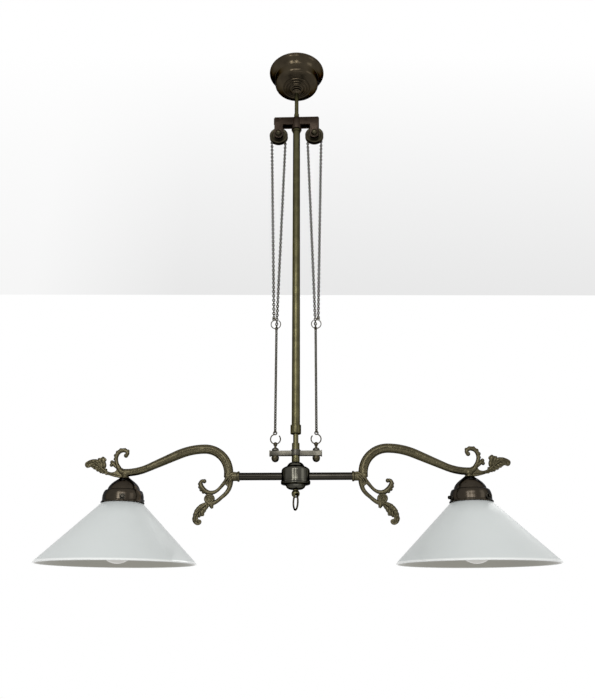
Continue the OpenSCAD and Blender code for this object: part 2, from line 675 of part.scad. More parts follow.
// Ends of the arm's bends in the X-Z plane, from the root to the shade
bend_ends = [[root_x, z_crest - root_turn_r], [crest_x, z_crest],
    [crest_x + crest_r * sin(arm_slope), z_crest - crest_r * (1 - cos(arm_slope))],
    [arm_reach - tip_turn_r * sin(arm_slope), z_arm_end + tip_turn_r * (1 - cos(arm_slope))]];

// The arm's round bar, from r0 at the root to r1 at the shade
module arm_bar(r0, r1) {
    bend([crest_x, z_crest - root_turn_r], root_turn_r, r0, 90, 180);
    bend([crest_x, z_crest - crest_r], crest_r, r0, 90 - arm_slope, 90);
    translate([bend_ends[2][0], 0, bend_ends[2][1]]) rotate([0, 90 + arm_slope, 0])
        translate([0, 0, 0.3]) cylinder(r1 = r0, r2 = r1, h = slope_len - 0.6);
    bend([arm_reach, z_arm_end + tip_turn_r], tip_turn_r, r1, -90 - arm_slope, -90);
}

// A bead round the bar at the end number i of its bends
module bead(i, turn, r) translate([bend_ends[i][0], 0, bend_ends[i][1]])
    rotate([0, turn, 0]) cylinder(r = r, h = 1.6, center = true);

// The way for the wires through the arm, with a ball at each corner
module arm_bore(r) {
    arm_bar(r, r);
    translate([root_x, 0, z_pipe]) cylinder(r = r, h = bend_ends[0][1] - z_pipe);
    translate([arm_start - 1, 0, z_pipe]) rotate([0, 90, 0])
        cylinder(r = r, h = root_x - arm_start + 1);
    translate([arm_reach, 0, z_gallery]) cylinder(r = r, h = z_arm_end - z_gallery);
    for (p = concat(bend_ends, [[root_x, z_pipe], [arm_reach, z_arm_end]]))
        translate([p[0], 0, p[1]]) sphere(r = r + 0.3);
}

// Cast scrolls and leaves, as points from the arm's root and from the top of the shade's boss
root_scroll = [[4, -6], [10, -14], [18, -21.5], [28, -26], [38.5, -24.5], [45.3, -16.5], [43, -8]];
root_strap = [[-4, -5], [3, -22.5], [11.3, -32], [24, -41]];
root_leaf = [[26, -40], [38.4, -43.9], [47.2, -48.6], [52.4, -57.3], [54.6, -66], [52.3, -72.3],
    [46.5, -75.9], [41.6, -73], [42.8, -68.8], [45.4, -66], [44, -62.1], [39.9, -62.9],
    [36, -60.6], [35.4, -55.1], [30.9, -48.7]];
tip_scroll = [[4, 0], [13, 7.5], [18.6, 20], [17, 31], [9, 37], [2, 34.5]];
tip_leaf = [[8, -3], [22.5, -5.3], [32, -1.5], [38, -1.1], [43.4, 2.3], [48.6, 4], [54.1, 7.3],
    [61, 8.2], [67, 12], [61, 16.5], [55.8, 22.5], [50.5, 18.8], [44, 22], [37.4, 24],
    [33.5, 19.5], [27.5, 19.5], [18, 16], [10, 6]];

module arm_shape() difference() {
    union() {
        arm_bar(arm_r, arm_tip_r);
        bead(0, 0, arm_r + 0.5);
        bead(1, 90, arm_r + 0.4);
        bead(2, 90 + arm_slope, arm_r + 0.4);
        bead(3, 90 + arm_slope, arm_tip_r + 0.4);
        translate([root_x, 0, z_pipe]) {
            sphere(r = arm_r + 0.9);
            translate([0, 0, 3]) cylinder(r = arm_r, h = bend_ends[0][1] - z_pipe - 3.3);
        }
        translate([arm_start, 0, z_pipe]) rotate([0, 90, 0]) {
            cylinder(r = pipe_r + 2, h = 3);
            cylinder(r = pipe_r + 1, h = root_x - arm_start - 3);
        }
        translate([arm_reach, 0, z_gallery]) {
            cylinder(r = boss_neck_r, h = 5);
            cylinder(r = 6.6, h = z_arm_end - z_gallery - 2);
            translate([0, 0, z_arm_end - z_gallery]) sphere(r = 7.6);
        }
        translate([root_x, 0, z_pipe]) {
            plate_xz(casting_t) polygon(band(root_scroll, 2.6, 3, 3.8));
            plate_xz(casting_t - 0.6) polygon(band(root_strap, 2.9, 2.7, 2.9));
            plate_xz(casting_t - 1) polygon(loop(root_leaf));
            translate([39.5, 0, -6.8]) sphere(r = 4.2);
            translate([27.5, 0, -46.3]) sphere(r = 3.4);
            translate([31.5, 0, -36.5]) rotate([90, 0, 0])
                cylinder(r = 8, h = casting_t + 1, center = true);
        }
        translate([arm_reach, 0, z_arm_end]) {
            plate_xz(casting_t) polygon(band(tip_scroll, 3.4, 3.2, 2.8));
            plate_xz(casting_t - 1) polygon(loop(tip_leaf));
            translate([0.8, 0, 31]) sphere(r = 3.9);
        }
    }
    arm_bore(wire_way);
    translate([arm_start - 1, 0, z_pipe]) rotate([0, 90, 0])
        cylinder(r = pipe_r + seat, h = 9.1);
    translate([arm_reach, 0, z_gallery - 1]) cylinder(r = nipple_r + seat, h = 8);
    translate([arm_reach + 24.8, 0, z_arm_end + 8.8]) rotate([90, 0, 0])
        cylinder(r = 7.4, h = 20, center = true);
}
module left_arm() color([0.36, 0.34, 0.22]) mirror([1, 0, 0]) arm_shape();
module right_arm() color([0.36, 0.34, 0.22]) arm_shape();

// --- Galleries, shades and lamps ----------------------------------------------------------

// Outer outline of a gallery: a waisted dome with a step line, a straight wall and a flared lip
gallery_out = [[8.6, 0], [10, -1.5], [13.8, -4.3], [17.8, -7.4], [21, -10.4], [23.4, -13.4],
    [25.2, -16.6], [26.3, -20.2], [29.6, -21.4], [31, -23.4], [32, -26], [gallery_r, -30.5],
    [gallery_r, -gallery_h + 3.5], [gallery_lip_r, -gallery_h + 1.2], [gallery_lip_r, -gallery_h]];

module gallery_at(side, angles) color([0.16, 0.14, 0.11])
    translate([side * arm_reach, 0, z_gallery]) difference() {
        turned(concat([[nipple_r + seat, 0]], gallery_out,
            [for (i = [len(gallery_out) - 1:-1:1])
                gallery_out[i] - gallery_t * path_normal(gallery_out, i)],
            [[8.1, -gallery_t], [nipple_r + seat, -gallery_t]]));
        for (a = angles) rotate([0, 0, a]) translate([neck_r, 0, -gallery_h + screw_drop])
            rotate([0, 90, 0]) cylinder(r = shade_screw_r + seat, h = 12);
    }
module left_gallery() gallery_at(-1, left_screw_angles);
module right_gallery() gallery_at(1, right_screw_angles);

module shade_screws_at(side, angles) color([0.1, 0.09, 0.07])
    translate([side * arm_reach, 0, z_lip + screw_drop]) for (a = angles)
        rotate([0, 0, a]) translate([neck_r + 0.15, 0, 0]) rotate([0, 90, 0]) turned([[0, 0],
            [shade_screw_r, 0.4], [shade_screw_r, gallery_r - neck_r + 1.6],
            [2.6, gallery_r - neck_r + 1.6], [2.9, gallery_r - neck_r + 2.4],
            [2.9, gallery_r - neck_r + 4.2], [2.2, gallery_r - neck_r + 5],
            [0, gallery_r - neck_r + 5]]);
module left_shade_screws() shade_screws_at(-1, left_screw_angles);
module right_shade_screws() shade_screws_at(1, right_screw_angles);

module holder_nipples() color("goldenrod") for (s = [-1, 1]) translate([s * arm_reach, 0, 0])
    pipe_z(z_gallery + 6.5, z_holder - 2.5, nipple_r, nipple_r - 1.5);

module holder_nuts() color("silver") for (s = [-1, 1]) translate([s * arm_reach, 0, 0]) {
    translate([0, 0, z_gallery - gallery_t - nut_h]) hex_nut(holder_nut_r, nut_h, nipple_r + seat);
}

module lampholder_at(x) color([0.93, 0.92, 0.86]) translate([x, 0, z_holder]) difference() {
    turned([[nipple_r + seat, 0], [10, 0], [12, -1], [holder_r - 3, -6], [holder_r - 1, -9],
        [holder_r - 1, -16], [holder_r, -17], [holder_r, -holder_h], [cap_r + 0.6, -holder_h],
        [cap_r + 0.6, -6], [nipple_r + seat, -6]]);
}
module left_lampholder() lampholder_at(-arm_reach);
module right_lampholder() lampholder_at(arm_reach);

module shade_at(x) color([0.83, 0.85, 0.84]) translate([x, 0, 0]) turned([
    [neck_r - glass_t, z_shade_top + neck_h], [neck_r + 1, z_shade_top + neck_h],
    [neck_r + 1, z_shade_top + neck_h - 2.5], [neck_r, z_shade_top + neck_h - 3.5],
    [neck_r, z_shade_top + 1.2], [neck_r + 1.2, z_shade_top], [shoulder_out, z_shade_top - 0.4],
    [shade_r, z_rim + 1.6], [shade_r, z_rim + 0.6], [shade_r - 0.8, z_rim],
    [shade_r - glass_t - 0.2, z_rim + 0.6], [neck_r + glass_t, z_shade_top - glass_t - 0.5],
    [neck_r - glass_t + 1.6, z_shade_top - glass_t + 0.8],
    [neck_r - glass_t, z_shade_top - glass_t + 2.6]]);
module left_shade() shade_at(-arm_reach);
module right_shade() shade_at(arm_reach);

// A lamp bulb below its cap: a sphere blended into a tapering neck
function bulb_line(t) =
    let(c = z_bulb + bulb_r)
    concat([[cap_r - 0.6 - t, z_bulb_top - cap_h - 0.3], [cap_r + 2 - t, z_bulb_top - cap_h - 9]],
        arc([0, c], bulb_r - t, 38, -88, 14));

module bulb_at(x) color([0.95, 0.93, 0.88]) translate([x, 0, 0]) difference() {
    turned(concat([[0, z_bulb_top - cap_h - 0.3]], bulb_line(0), [[0, z_bulb]]));
    turned(concat([[0, z_bulb_top - cap_h - 2]], [for (p = bulb_line(1)) [p[0], min(p[1], z_bulb_top - cap_h - 2)]],
        [[0, z_bulb + 1]]));
}
module left_bulb() bulb_at(-arm_reach);
module right_bulb() bulb_at(arm_reach);

module bulb_caps() color("silver") for (s = [-1, 1]) translate([s * arm_reach, 0, 0])
    turned([[0, z_bulb_top], [5, z_bulb_top], [8, z_bulb_top - 3], [cap_r - 0.2, z_bulb_top - 5],
        [cap_r, z_bulb_top - 6], [cap_r, z_bulb_top - cap_h], [0, z_bulb_top - cap_h]]);

ceiling_strap();
strap_nipple();
nipple_nuts();
terminal_block();
socket_plug();
ball_socket();
canopy_cup();
canopy_ring_nut();
swivel_ball();
suspension_rod();
rod_lock_nut();
rod_foot();
pulley_bracket();
bracket_cover_plate();
cover_screws();
left_axle();
right_axle();
axle_cap_nuts();
left_pulley();
right_pulley();
left_chain();
right_chain();
left_chain_hook();
right_chain_hook();
outer_tube();
tube_collar();
guide_bush();
inner_tube();
tube_stop();
tube_socket();
crossbar();
bar_washer();
left_eye_stud();
right_eye_stud();
bell_nuts();
acorn_nuts();
left_ring_hook();
right_ring_hook();
hub_body();
hub_cover();
hub_terminal();
finial();
pull_ring();
left_pipe();
right_pipe();
left_arm();
right_arm();
left_gallery();
right_gallery();
left_shade_screws();
right_shade_screws();
holder_nipples();
holder_nuts();
left_lampholder();
right_lampholder();
left_shade();
right_shade();
left_bulb();
right_bulb();
bulb_caps();
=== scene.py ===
"""Looks of the rise and fall pendant: aged brass, opal glass, chains and cast scroll arms."""

import json
import logging
import math
from contextlib import contextmanager
from dataclasses import dataclass, field
from enum import Enum
from typing import Iterable, Iterator, Sequence

import bpy
import numpy as np
from mathutils import Matrix, Vector

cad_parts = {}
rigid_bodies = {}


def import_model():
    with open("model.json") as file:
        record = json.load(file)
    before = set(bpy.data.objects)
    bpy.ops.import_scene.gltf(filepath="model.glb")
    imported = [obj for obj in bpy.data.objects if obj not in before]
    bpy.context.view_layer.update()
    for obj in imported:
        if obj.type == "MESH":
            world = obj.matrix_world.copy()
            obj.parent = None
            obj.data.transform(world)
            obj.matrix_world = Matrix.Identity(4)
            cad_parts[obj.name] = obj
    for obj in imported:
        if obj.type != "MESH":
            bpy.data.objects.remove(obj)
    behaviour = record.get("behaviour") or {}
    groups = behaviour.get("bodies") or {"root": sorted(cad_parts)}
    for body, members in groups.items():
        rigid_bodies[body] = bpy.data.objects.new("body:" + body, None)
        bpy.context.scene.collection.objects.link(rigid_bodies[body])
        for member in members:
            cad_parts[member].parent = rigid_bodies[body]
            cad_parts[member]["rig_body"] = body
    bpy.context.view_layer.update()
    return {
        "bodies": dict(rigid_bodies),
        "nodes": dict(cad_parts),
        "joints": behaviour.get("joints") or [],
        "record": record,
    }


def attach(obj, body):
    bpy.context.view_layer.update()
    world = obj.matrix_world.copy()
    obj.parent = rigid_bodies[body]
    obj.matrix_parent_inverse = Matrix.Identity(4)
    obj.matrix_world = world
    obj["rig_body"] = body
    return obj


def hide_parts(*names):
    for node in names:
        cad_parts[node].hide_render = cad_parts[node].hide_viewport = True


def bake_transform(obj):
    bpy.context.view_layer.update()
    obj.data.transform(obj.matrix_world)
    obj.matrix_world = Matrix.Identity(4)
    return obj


log = logging.getLogger("pendant")
MM = 0.001
ROUGHER_WHERE_DARK = 0.16
SMOOTH_DEG = 38.0
CAD_WELD = 2e-6
TURNED_WELD = 1e-6
SENSOR_MM = 36
PHOTO_ROWS = 699

Piece = bpy.types.Object
Socket = bpy.types.NodeSocket
Point = tuple[float, float]
Triple = tuple[float, float, float]
Colour = Triple
Value = Socket | float | tuple


class Side(Enum):
    """Which half of the lamp a piece belongs to; the value is the sign of its X."""

    LEFT = -1
    RIGHT = 1

    @property
    def word(self) -> str:
        """The side's name as it stands in node names."""
        return self.name.lower()


SCREW_ANGLES_DEG = {Side.LEFT: (-76.0, 44.0, 164.0), Side.RIGHT: (190.0, -50.0, 70.0)}


# --- Shader groups --------------------------------------------------------------------------


@dataclass(frozen=True)
class Graph:
    """A node tree, with the few kinds of node that the finishes and the world are made of."""

    tree: bpy.types.NodeTree

    def feed(self, slot: Socket, value: Value) -> None:
        """Links a socket to an input, or sets the input to a plain value."""
        if isinstance(value, Socket):
            self.tree.links.new(value, slot)
        else:
            slot.default_value = value

    def fill(self, node: bpy.types.Node, values: dict[str | int, Value]) -> None:
        """Feeds several inputs of a node, each by its name or number."""
        for key, value in values.items():
            self.feed(node.inputs[key], value)

    def add(self, kind: str, values: dict[str | int, Value] | None = None,
            **settings: object) -> bpy.types.bpy_prop_collection:
        """Adds a node.

        Args:
            kind: the node's type, without the words ShaderNode.
            values: what its inputs get.
            settings: the node's own settings, made before its inputs are fed.

        Returns:
            The node's outputs.
        """
        node = self.tree.nodes.new(f"ShaderNode{kind}")
        for key, value in settings.items():
            setattr(node, key, value)
        self.fill(node, values or {})
        return node.outputs

    def noise(self, scale: Value, detail: float = 4.0, stretch: Triple = (1, 1, 1)) -> Socket:
        """Adds a noise texture on Object coordinates.

        Args:
            scale: cells for each metre.
            detail: octaves of the noise.
            stretch: how much the pattern is squeezed along X, Y and Z.

        Returns:
            The noise's value.
        """
        place = self.add("Mapping", {"Vector": self.add("TexCoord")["Object"], "Scale": stretch})
        return self.add("TexNoise", {"Vector": place["Vector"], "Detail": detail,
                                     "Scale": scale})["Fac"]

    def spread(self, value: Socket, low: float, high: float, to_low: float = 0.0,
               to_high: float = 1.0) -> Socket:
        """Maps a value from one range to another, clamped.

        Args:
            value: the socket to map.
            low: value that becomes to_low.
            high: value that becomes to_high.
            to_low: result at the low end.
            to_high: result at the high end.

        Returns:
            The mapped value.
        """
        return self.add("MapRange", {"Value": value, "From Min": low, "From Max": high,
                                     "To Min": to_low, "To Max": to_high})["Result"]

    def reckon(self, operation: str, *values: Value) -> Socket:
        """Adds a Math node on the values and gives its result."""
        return self.add("Math", dict(enumerate(values)), operation=operation)[0]

    def blend(self, share: Socket, first: Value, second: Value) -> Socket:
        """Mixes two colours: a share of 0 gives the first and 1 the second."""
        return self.add("Mix", {0: share, 6: first, 7: second}, data_type="RGBA")[2]

    def bump(self, shader: bpy.types.Node, height: Socket, depth_mm: float) -> None:
        """Feeds a relief of the given depth into a shader's normal."""
        relief = self.add("Bump", {"Strength": 1.0, "Distance": depth_mm * MM, "Height": height})
        self.feed(shader.inputs["Normal"], relief["Normal"])


def new_group(name: str, inputs: dict[str, float | tuple], outputs: Sequence[str]) -> tuple:
    """Makes an empty shader node group with named sockets.

    Args:
        name: the group's name.
        inputs: socket name to default value; a tuple makes a colour socket.
        outputs: socket names; Color makes a colour socket.

    Returns:
        The group's graph, the sockets of what it is given and its output node.
    """
    tree = bpy.data.node_groups.new(name, "ShaderNodeTree")
    for key, value in inputs.items():
        kind = "NodeSocketColor" if isinstance(value, tuple) else "NodeSocketFloat"
        socket = tree.interface.new_socket(name=key, in_out="INPUT", socket_type=kind)
        socket.default_value = value
    for key in outputs:
        kind = "NodeSocketColor" if key == "Color" else "NodeSocketFloat"
        tree.interface.new_socket(name=key, in_out="OUTPUT", socket_type=kind)
    given = tree.nodes.new("NodeGroupInput").outputs
    return Graph(tree), given, tree.nodes.new("NodeGroupOutput")


def build_patina_group() -> bpy.types.NodeTree:
    """Aged metal: cloudy tone, darker blotches and small rubbed spots.

    Returns:
        A group that puts out the colour and a roughness.
    """
    graph, given, out = new_group(
        "aged_metal_patina",
        {"Metal": (0.3, 0.3, 0.2, 1), "Dark": (0.05, 0.04, 0.03, 1), "Rubbed": (0.5, 0.45, 0.3, 1),
         "Cloud Scale": 60.0, "Blotch Amount": 0.5, "Rub Amount": 0.3, "Roughness": 0.35},
        ["Color", "Roughness"])
    cloud = graph.spread(graph.noise(given["Cloud Scale"], 6.0), 0.35, 0.68)
    fine = graph.spread(graph.noise(900.0, 3.0), 0.52, 0.75)
    blotch = graph.reckon("MULTIPLY", cloud, given["Blotch Amount"])
    rub = graph.reckon("MULTIPLY", fine, given["Rub Amount"])
    toned = graph.blend(blotch, given["Metal"], given["Dark"])
    graph.fill(out, {
        "Color": graph.blend(rub, toned, given["Rubbed"]),
        "Roughness": graph.reckon("MULTIPLY_ADD", blotch, ROUGHER_WHERE_DARK, given["Roughness"])})
    return graph.tree


def build_grain_group() -> bpy.types.NodeTree:
    """Surface relief of metal: drawn lines along Z and a fine cast grain.

    Returns:
        A group that puts out a height.
    """
    graph, given, out = new_group(
        "metal_surface_grain", {"Line Amount": 0.5, "Cast Amount": 0.5, "Cast Scale": 700.0},
        ["Height"])
    lines = graph.noise(500.0, 3.0, (1, 1, 0.02))
    cast = graph.noise(given["Cast Scale"], 5.0)
    drawn = graph.reckon("MULTIPLY", lines, given["Line Amount"])
    graph.fill(out, {"Height": graph.reckon("MULTIPLY_ADD", cast, given["Cast Amount"], drawn)})
    return graph.tree


def build_chasing_group() -> bpy.types.NodeTree:
    """Chased and beaded casting: round beads with dark ground between them.

    Returns:
        A group that puts out a height and a mask that is 1 on the raised beads.
    """
    graph, given, out = new_group("chased_casting", {"Bead Scale": 400.0}, ["Height", "Raised"])
    cells = graph.add("TexVoronoi", {"Smoothness": 0.35, "Vector": graph.add("TexCoord")["Object"],
                                     "Scale": given["Bead Scale"]}, feature="SMOOTH_F1")
    raised = graph.spread(cells["Distance"], 0.15, 0.62, 1.0, 0.0)
    cloud = graph.spread(graph.noise(160.0, 4.0), 0.35, 0.65, 0.25, 1.0)
    graph.fill(out, {"Height": raised, "Raised": graph.reckon("MULTIPLY", raised, cloud)})
    return graph.tree


@dataclass(frozen=True)
class Groups:
    """The shader groups that the finishes share."""

    patina: bpy.types.NodeTree
    grain: bpy.types.NodeTree
    chasing: bpy.types.NodeTree

    @staticmethod
    def build() -> "Groups":
        """Builds every group once."""
        return Groups(build_patina_group(), build_grain_group(), build_chasing_group())


# --- Finishes -------------------------------------------------------------------------------


def shader_of(name: str) -> tuple[bpy.types.Material, Graph, bpy.types.Node]:
    """Makes a material with a Principled shader.

    Args:
        name: the material's name.

    Returns:
        The material, its graph and the shader node.
    """
    material = bpy.data.materials.new(name)
    material.use_nodes = True
    tree = material.node_tree
    return material, Graph(tree), tree.nodes["Principled BSDF"]


@dataclass(frozen=True)
class Relief:
    """How a metal's surface was worked: drawn lines, cast grain and how deep they are."""

    lines: float
    cast: float
    cast_scale: float
    depth_mm: float


DRAWN = Relief(0.4, 0.3, 700.0, 0.012)
POLISHED = Relief(0.1, 0.1, 300.0, 0.01)


@dataclass(frozen=True)
class MetalFinish:
    """A metal with an aged surface. Colours are linear RGB."""

    name: str
    metal: Colour
    dark: Colour
    rubbed: Colour
    roughness: float
    cloud_scale: float
    blotch: float
    rub: float
    relief: Relief = DRAWN
    coat: float = 0.0
    chased: bool = False
    bead_shine: float = 0.22
    bead_height: float = 2.0
    edge: float = 0.1
    coat_roughness: float = 0.12

    def make(self, groups: Groups) -> bpy.types.Material:
        """Builds the material.

        Args:
            groups: the shared shader groups.

        Returns:
            The material.
        """
        material, graph, shader = shader_of(self.name)
        patina = graph.add("Group", {
            "Metal": (*self.metal, 1), "Dark": (*self.dark, 1), "Rubbed": (*self.rubbed, 1),
            "Cloud Scale": self.cloud_scale, "Blotch Amount": self.blotch,
            "Rub Amount": self.rub, "Roughness": self.roughness}, node_tree=groups.patina)
        grain = graph.add("Group", {
            "Line Amount": self.relief.lines, "Cast Amount": self.relief.cast,
            "Cast Scale": self.relief.cast_scale}, node_tree=groups.grain)
        colour, height = patina["Color"], grain["Height"]
        if self.chased:
            beads = graph.add("Group", node_tree=groups.chasing)
            share = graph.spread(beads["Raised"], 0.0, 1.0, 0.0, self.bead_shine)
            colour = graph.blend(share, colour, (*self.rubbed, 1))
            height = graph.reckon("MULTIPLY_ADD", beads["Height"], self.bead_height, height)
        graph.fill(shader, {
            "Base Color": colour, "Roughness": patina["Roughness"], "Metallic": 1.0,
            "Specular Tint": (self.edge, self.edge, self.edge, 1), "Coat Weight": self.coat,
            "Coat Roughness": self.coat_roughness})
        graph.bump(shader, height, self.relief.depth_mm)
        return material


@dataclass(frozen=True)
class PlainFinish:
    """A moulded plastic or a glass that doesn't show what is behind it."""

    name: str
    colour: Colour
    tint: Colour
    roughness: float
    coat: float = 0.0
    cloud_scale: float = 25.0
    grain_mm: float = 0.01
    swing: Point = (0.94, 1.06)
    coat_roughness: float = 0.05

    def make(self, groups: Groups) -> bpy.types.Material:
        """Builds the material.

        Args:
            groups: the shared shader groups.

        Returns:
            The material.
        """
        material, graph, shader = shader_of(self.name)
        cloud = graph.spread(graph.noise(self.cloud_scale, 3.0), 0.3, 0.7)
        height = graph.add("Group", {"Line Amount": 0.0}, node_tree=groups.grain)["Height"]
        dull, duller = (self.roughness * part for part in self.swing)
        graph.fill(shader, {
            "Base Color": graph.blend(cloud, (*self.colour, 1), (*self.tint, 1)),
            "Roughness": graph.spread(height, 0.0, 0.5, dull, duller),
            "Coat Weight": self.coat, "Coat Roughness": self.coat_roughness})
        graph.bump(shader, height, self.grain_mm)
        return material


class Finish(Enum):
    """Every finish on the lamp, by the record's material slot."""

    ZINC_STEEL = MetalFinish("zinc_steel", (0.55, 0.56, 0.55), (0.3, 0.3, 0.3), (0.75, 0.75, 0.75),
                             0.4, 40, 0.4, 0.1)
    PLAIN_BRASS = MetalFinish("plain_brass", (0.24, 0.175, 0.075), (0.11, 0.075, 0.033),
                              (0.38, 0.29, 0.15), 0.44, 80, 0.4, 0.2)
    TERMINAL_PLASTIC = PlainFinish("terminal_plastic", (0.8, 0.77, 0.68), (0.72, 0.69, 0.6), 0.45)
    ROSE_BRASS = MetalFinish("rose_brass", (0.05, 0.04, 0.026), (0.014, 0.011, 0.008),
                             (0.15, 0.12, 0.08), 0.17, 38, 0.6, 0.08, POLISHED)
    TUBE_BRASS = MetalFinish("tube_brass", (0.082, 0.075, 0.037), (0.026, 0.023, 0.013),
                             (0.2, 0.175, 0.1), 0.26, 55, 0.5, 0.15,
                             Relief(0.3, 0.1, 300, 0.01))
    BRACKET_BROWN = MetalFinish("bracket_brown", (0.034, 0.025, 0.019), (0.011, 0.008, 0.006),
                                (0.11, 0.08, 0.06), 0.36, 70, 0.6, 0.3,
                                Relief(0.0, 1.0, 300, 0.2))
    DARK_BRASS = MetalFinish("dark_brass", (0.044, 0.038, 0.024), (0.013, 0.011, 0.008),
                             (0.17, 0.14, 0.09), 0.28, 90, 0.5, 0.2)
    BAR_BRASS = MetalFinish("bar_brass", (0.07, 0.066, 0.054), (0.028, 0.025, 0.02),
                            (0.17, 0.155, 0.125), 0.26, 70, 0.45, 0.12)
    HUB_GUNMETAL = MetalFinish("hub_gunmetal", (0.07, 0.068, 0.056), (0.022, 0.021, 0.017),
                               (0.24, 0.23, 0.19), 0.1, 45, 0.5, 0.1,
                               Relief(0.1, 0.1, 300, 0.006))
    BLACK_PIPE = MetalFinish("black_pipe", (0.024, 0.022, 0.018), (0.01, 0.009, 0.007),
                             (0.08, 0.072, 0.056), 0.14, 70, 0.3, 0.05,
                             Relief(0.0, 0.1, 300, 0.003))
    ARM_BRASS = MetalFinish("arm_brass", (0.066, 0.058, 0.034), (0.023, 0.02, 0.012),
                            (0.25, 0.21, 0.12), 0.33, 60, 0.45, 0.08,
                            Relief(0.0, 0.3, 300, 0.06), chased=True)
    GALLERY_BROWN = MetalFinish("gallery_brown", (0.04, 0.032, 0.022), (0.013, 0.01, 0.007),
                                (0.13, 0.1, 0.07), 0.18, 45, 0.5, 0.1, POLISHED, coat=0.15)
    HOLDER_WHITE = PlainFinish("holder_white", (0.72, 0.71, 0.66), (0.66, 0.65, 0.6), 0.25, 0.3)
    OPAL_GLASS = PlainFinish("opal_glass", (0.63, 0.66, 0.65), (0.6, 0.63, 0.62), 0.42, 0.05,
                             cloud_scale=9.0, grain_mm=0.004)
    # The opal darkened and warmed: painted shade for the inside of the shade.
    OPAL_INSIDE_PAINTED_SHADE = PlainFinish("opal_inside_painted_shade", (0.46, 0.45, 0.39), (0.43, 0.42, 0.365), 0.3, 0.1,
                              cloud_scale=9.0, grain_mm=0.004)
    # The opal lightened: a painted highlight along the shade's rim.
    OPAL_RIM_PAINTED_HIGHLIGHT = PlainFinish("opal_rim_painted_highlight", (0.84, 0.86, 0.84), (0.8, 0.82, 0.8), 0.15, 0.5,
                           cloud_scale=9.0, grain_mm=0.004)
    BULB_GLASS = PlainFinish("bulb_glass", (0.86, 0.84, 0.78), (0.83, 0.81, 0.75), 0.3, 0.2,
                             cloud_scale=30.0, grain_mm=0.004)
    CAP_METAL = MetalFinish("cap_metal", (0.6, 0.6, 0.58), (0.4, 0.4, 0.38), (0.8, 0.8, 0.78),
                            0.3, 60, 0.3, 0.1)


class FinishShelf:
    """Makes each finish's material once and hands it out."""

    def __init__(self) -> None:
        """Starts with the shared groups and no materials."""
        self.groups = Groups.build()
        self.made: dict[Finish, bpy.types.Material] = {}

    def take(self, finish: Finish) -> bpy.types.Material:
        """The finish's material, made at its first use."""
        if finish not in self.made:
            self.made[finish] = finish.value.make(self.groups)
        return self.made[finish]


# --- Modelling helpers ----------------------------------------------------------------------


def deselect() -> None:
    """Leaves nothing selected and nothing in edit mode."""
    if bpy.context.object and bpy.context.object.mode != "OBJECT":
        bpy.ops.object.mode_set(mode="OBJECT")
    bpy.ops.object.select_all(action="DESELECT")


def use_only(piece: Piece) -> None:
    """Selects one object and makes it active."""
    deselect()
    piece.select_set(True)
    bpy.context.view_layer.objects.active = piece


@contextmanager
def editing(piece: Piece) -> Iterator[None]:
    """Edits one piece with all of it selected, and goes back to object mode."""
    use_only(piece)
    bpy.ops.object.mode_set(mode="EDIT")
    bpy.ops.mesh.select_all(action="SELECT")
    yield
    bpy.ops.object.mode_set(mode="OBJECT")


def settle(piece: Piece, name: str, smooth_deg: float = SMOOTH_DEG) -> Piece:
    """Puts a piece's place into its mesh, names it and smooths its faces.

    Args:
        piece: the object, a mesh or a curve.
        name: its new name.
        smooth_deg: edges sharper than this stay sharp.

    Returns:
        The mesh object, at the origin.
    """
    use_only(piece)
    if piece.type != "MESH":
        bpy.ops.object.convert(target="MESH")
        piece = bpy.context.object
    bpy.ops.object.transform_apply(location=True, rotation=True, scale=True)
    bpy.ops.object.shade_smooth_by_angle(angle=math.radians(smooth_deg))
    piece.name = piece.data.name = name
    return piece


def soften(piece: Piece, width_mm: float, sharper_than_deg: float) -> None:
    """Rounds a piece's sharp edges with a bevel of the given width."""
    use_only(piece)
    modifier = piece.modifiers.new("bevel", "BEVEL")
    modifier.width = width_mm * MM
    modifier.segments = 2
    modifier.limit_method = "ANGLE"
    modifier.angle_limit = math.radians(sharper_than_deg)
    bpy.ops.object.modifier_apply(modifier=modifier.name)


def moved(outline: Sequence[Point], to: Point) -> list[Point]:
    """The same points counted from another origin."""
    return [(to[0] + a, to[1] + b) for a, b in outline]


def turned(outline: Sequence[Point], centre_x: float = 0.0, steps: int = 72,
           bevel_mm: float = 0.0) -> Piece:
    """Turns a piece about a vertical axis from its closed outline.

    Args:
        outline: (radius, height) points in millimetres.
        centre_x: where the axis crosses the X axis, in millimetres.
        steps: how many steps make the full turn.
        bevel_mm: width of the rounding on its sharp edges.

    Returns:
        The turned object.
    """
    deselect()
    last = outline[0]
    bpy.ops.mesh.primitive_plane_add(size=MM, location=((centre_x + last[0]) * MM, 0,
                                                        last[1] * MM))
    piece = bpy.context.object
    bpy.ops.object.mode_set(mode="EDIT")
    bpy.ops.mesh.select_all(action="SELECT")
    bpy.ops.mesh.merge(type="CENTER")
    for point in [*outline[1:], outline[0]]:
        step = ((point[0] - last[0]) * MM, 0, (point[1] - last[1]) * MM)
        bpy.ops.mesh.extrude_vertices_move(TRANSFORM_OT_translate={"value": step})
        last = point
    bpy.ops.mesh.select_all(action="SELECT")
    bpy.ops.mesh.spin(steps=steps, angle=math.tau, center=(centre_x * MM, 0, 0), axis=(0, 0, 1))
    bpy.ops.mesh.select_all(action="SELECT")
    bpy.ops.mesh.remove_doubles(threshold=TURNED_WELD)
    bpy.ops.mesh.normals_make_consistent(inside=False)
    bpy.ops.object.mode_set(mode="OBJECT")
    bpy.ops.object.transform_apply(location=True, rotation=False, scale=False)
    if bevel_mm:
        soften(piece, bevel_mm, sharper_than_deg=35)
    return piece


def arc(centre: Point, radius: float, start: float, end: float, steps: int) -> list[Point]:
    """Points on an arc, from one angle in degrees to another."""
    turns = [math.radians(start + (end - start) * i / steps) for i in range(steps + 1)]
    return [(centre[0] + radius * math.cos(t), centre[1] + radius * math.sin(t)) for t in turns]


def metres(place: Triple) -> Triple:
    """A place given in millimetres, in metres."""
    return (place[0] * MM, place[1] * MM, place[2] * MM)


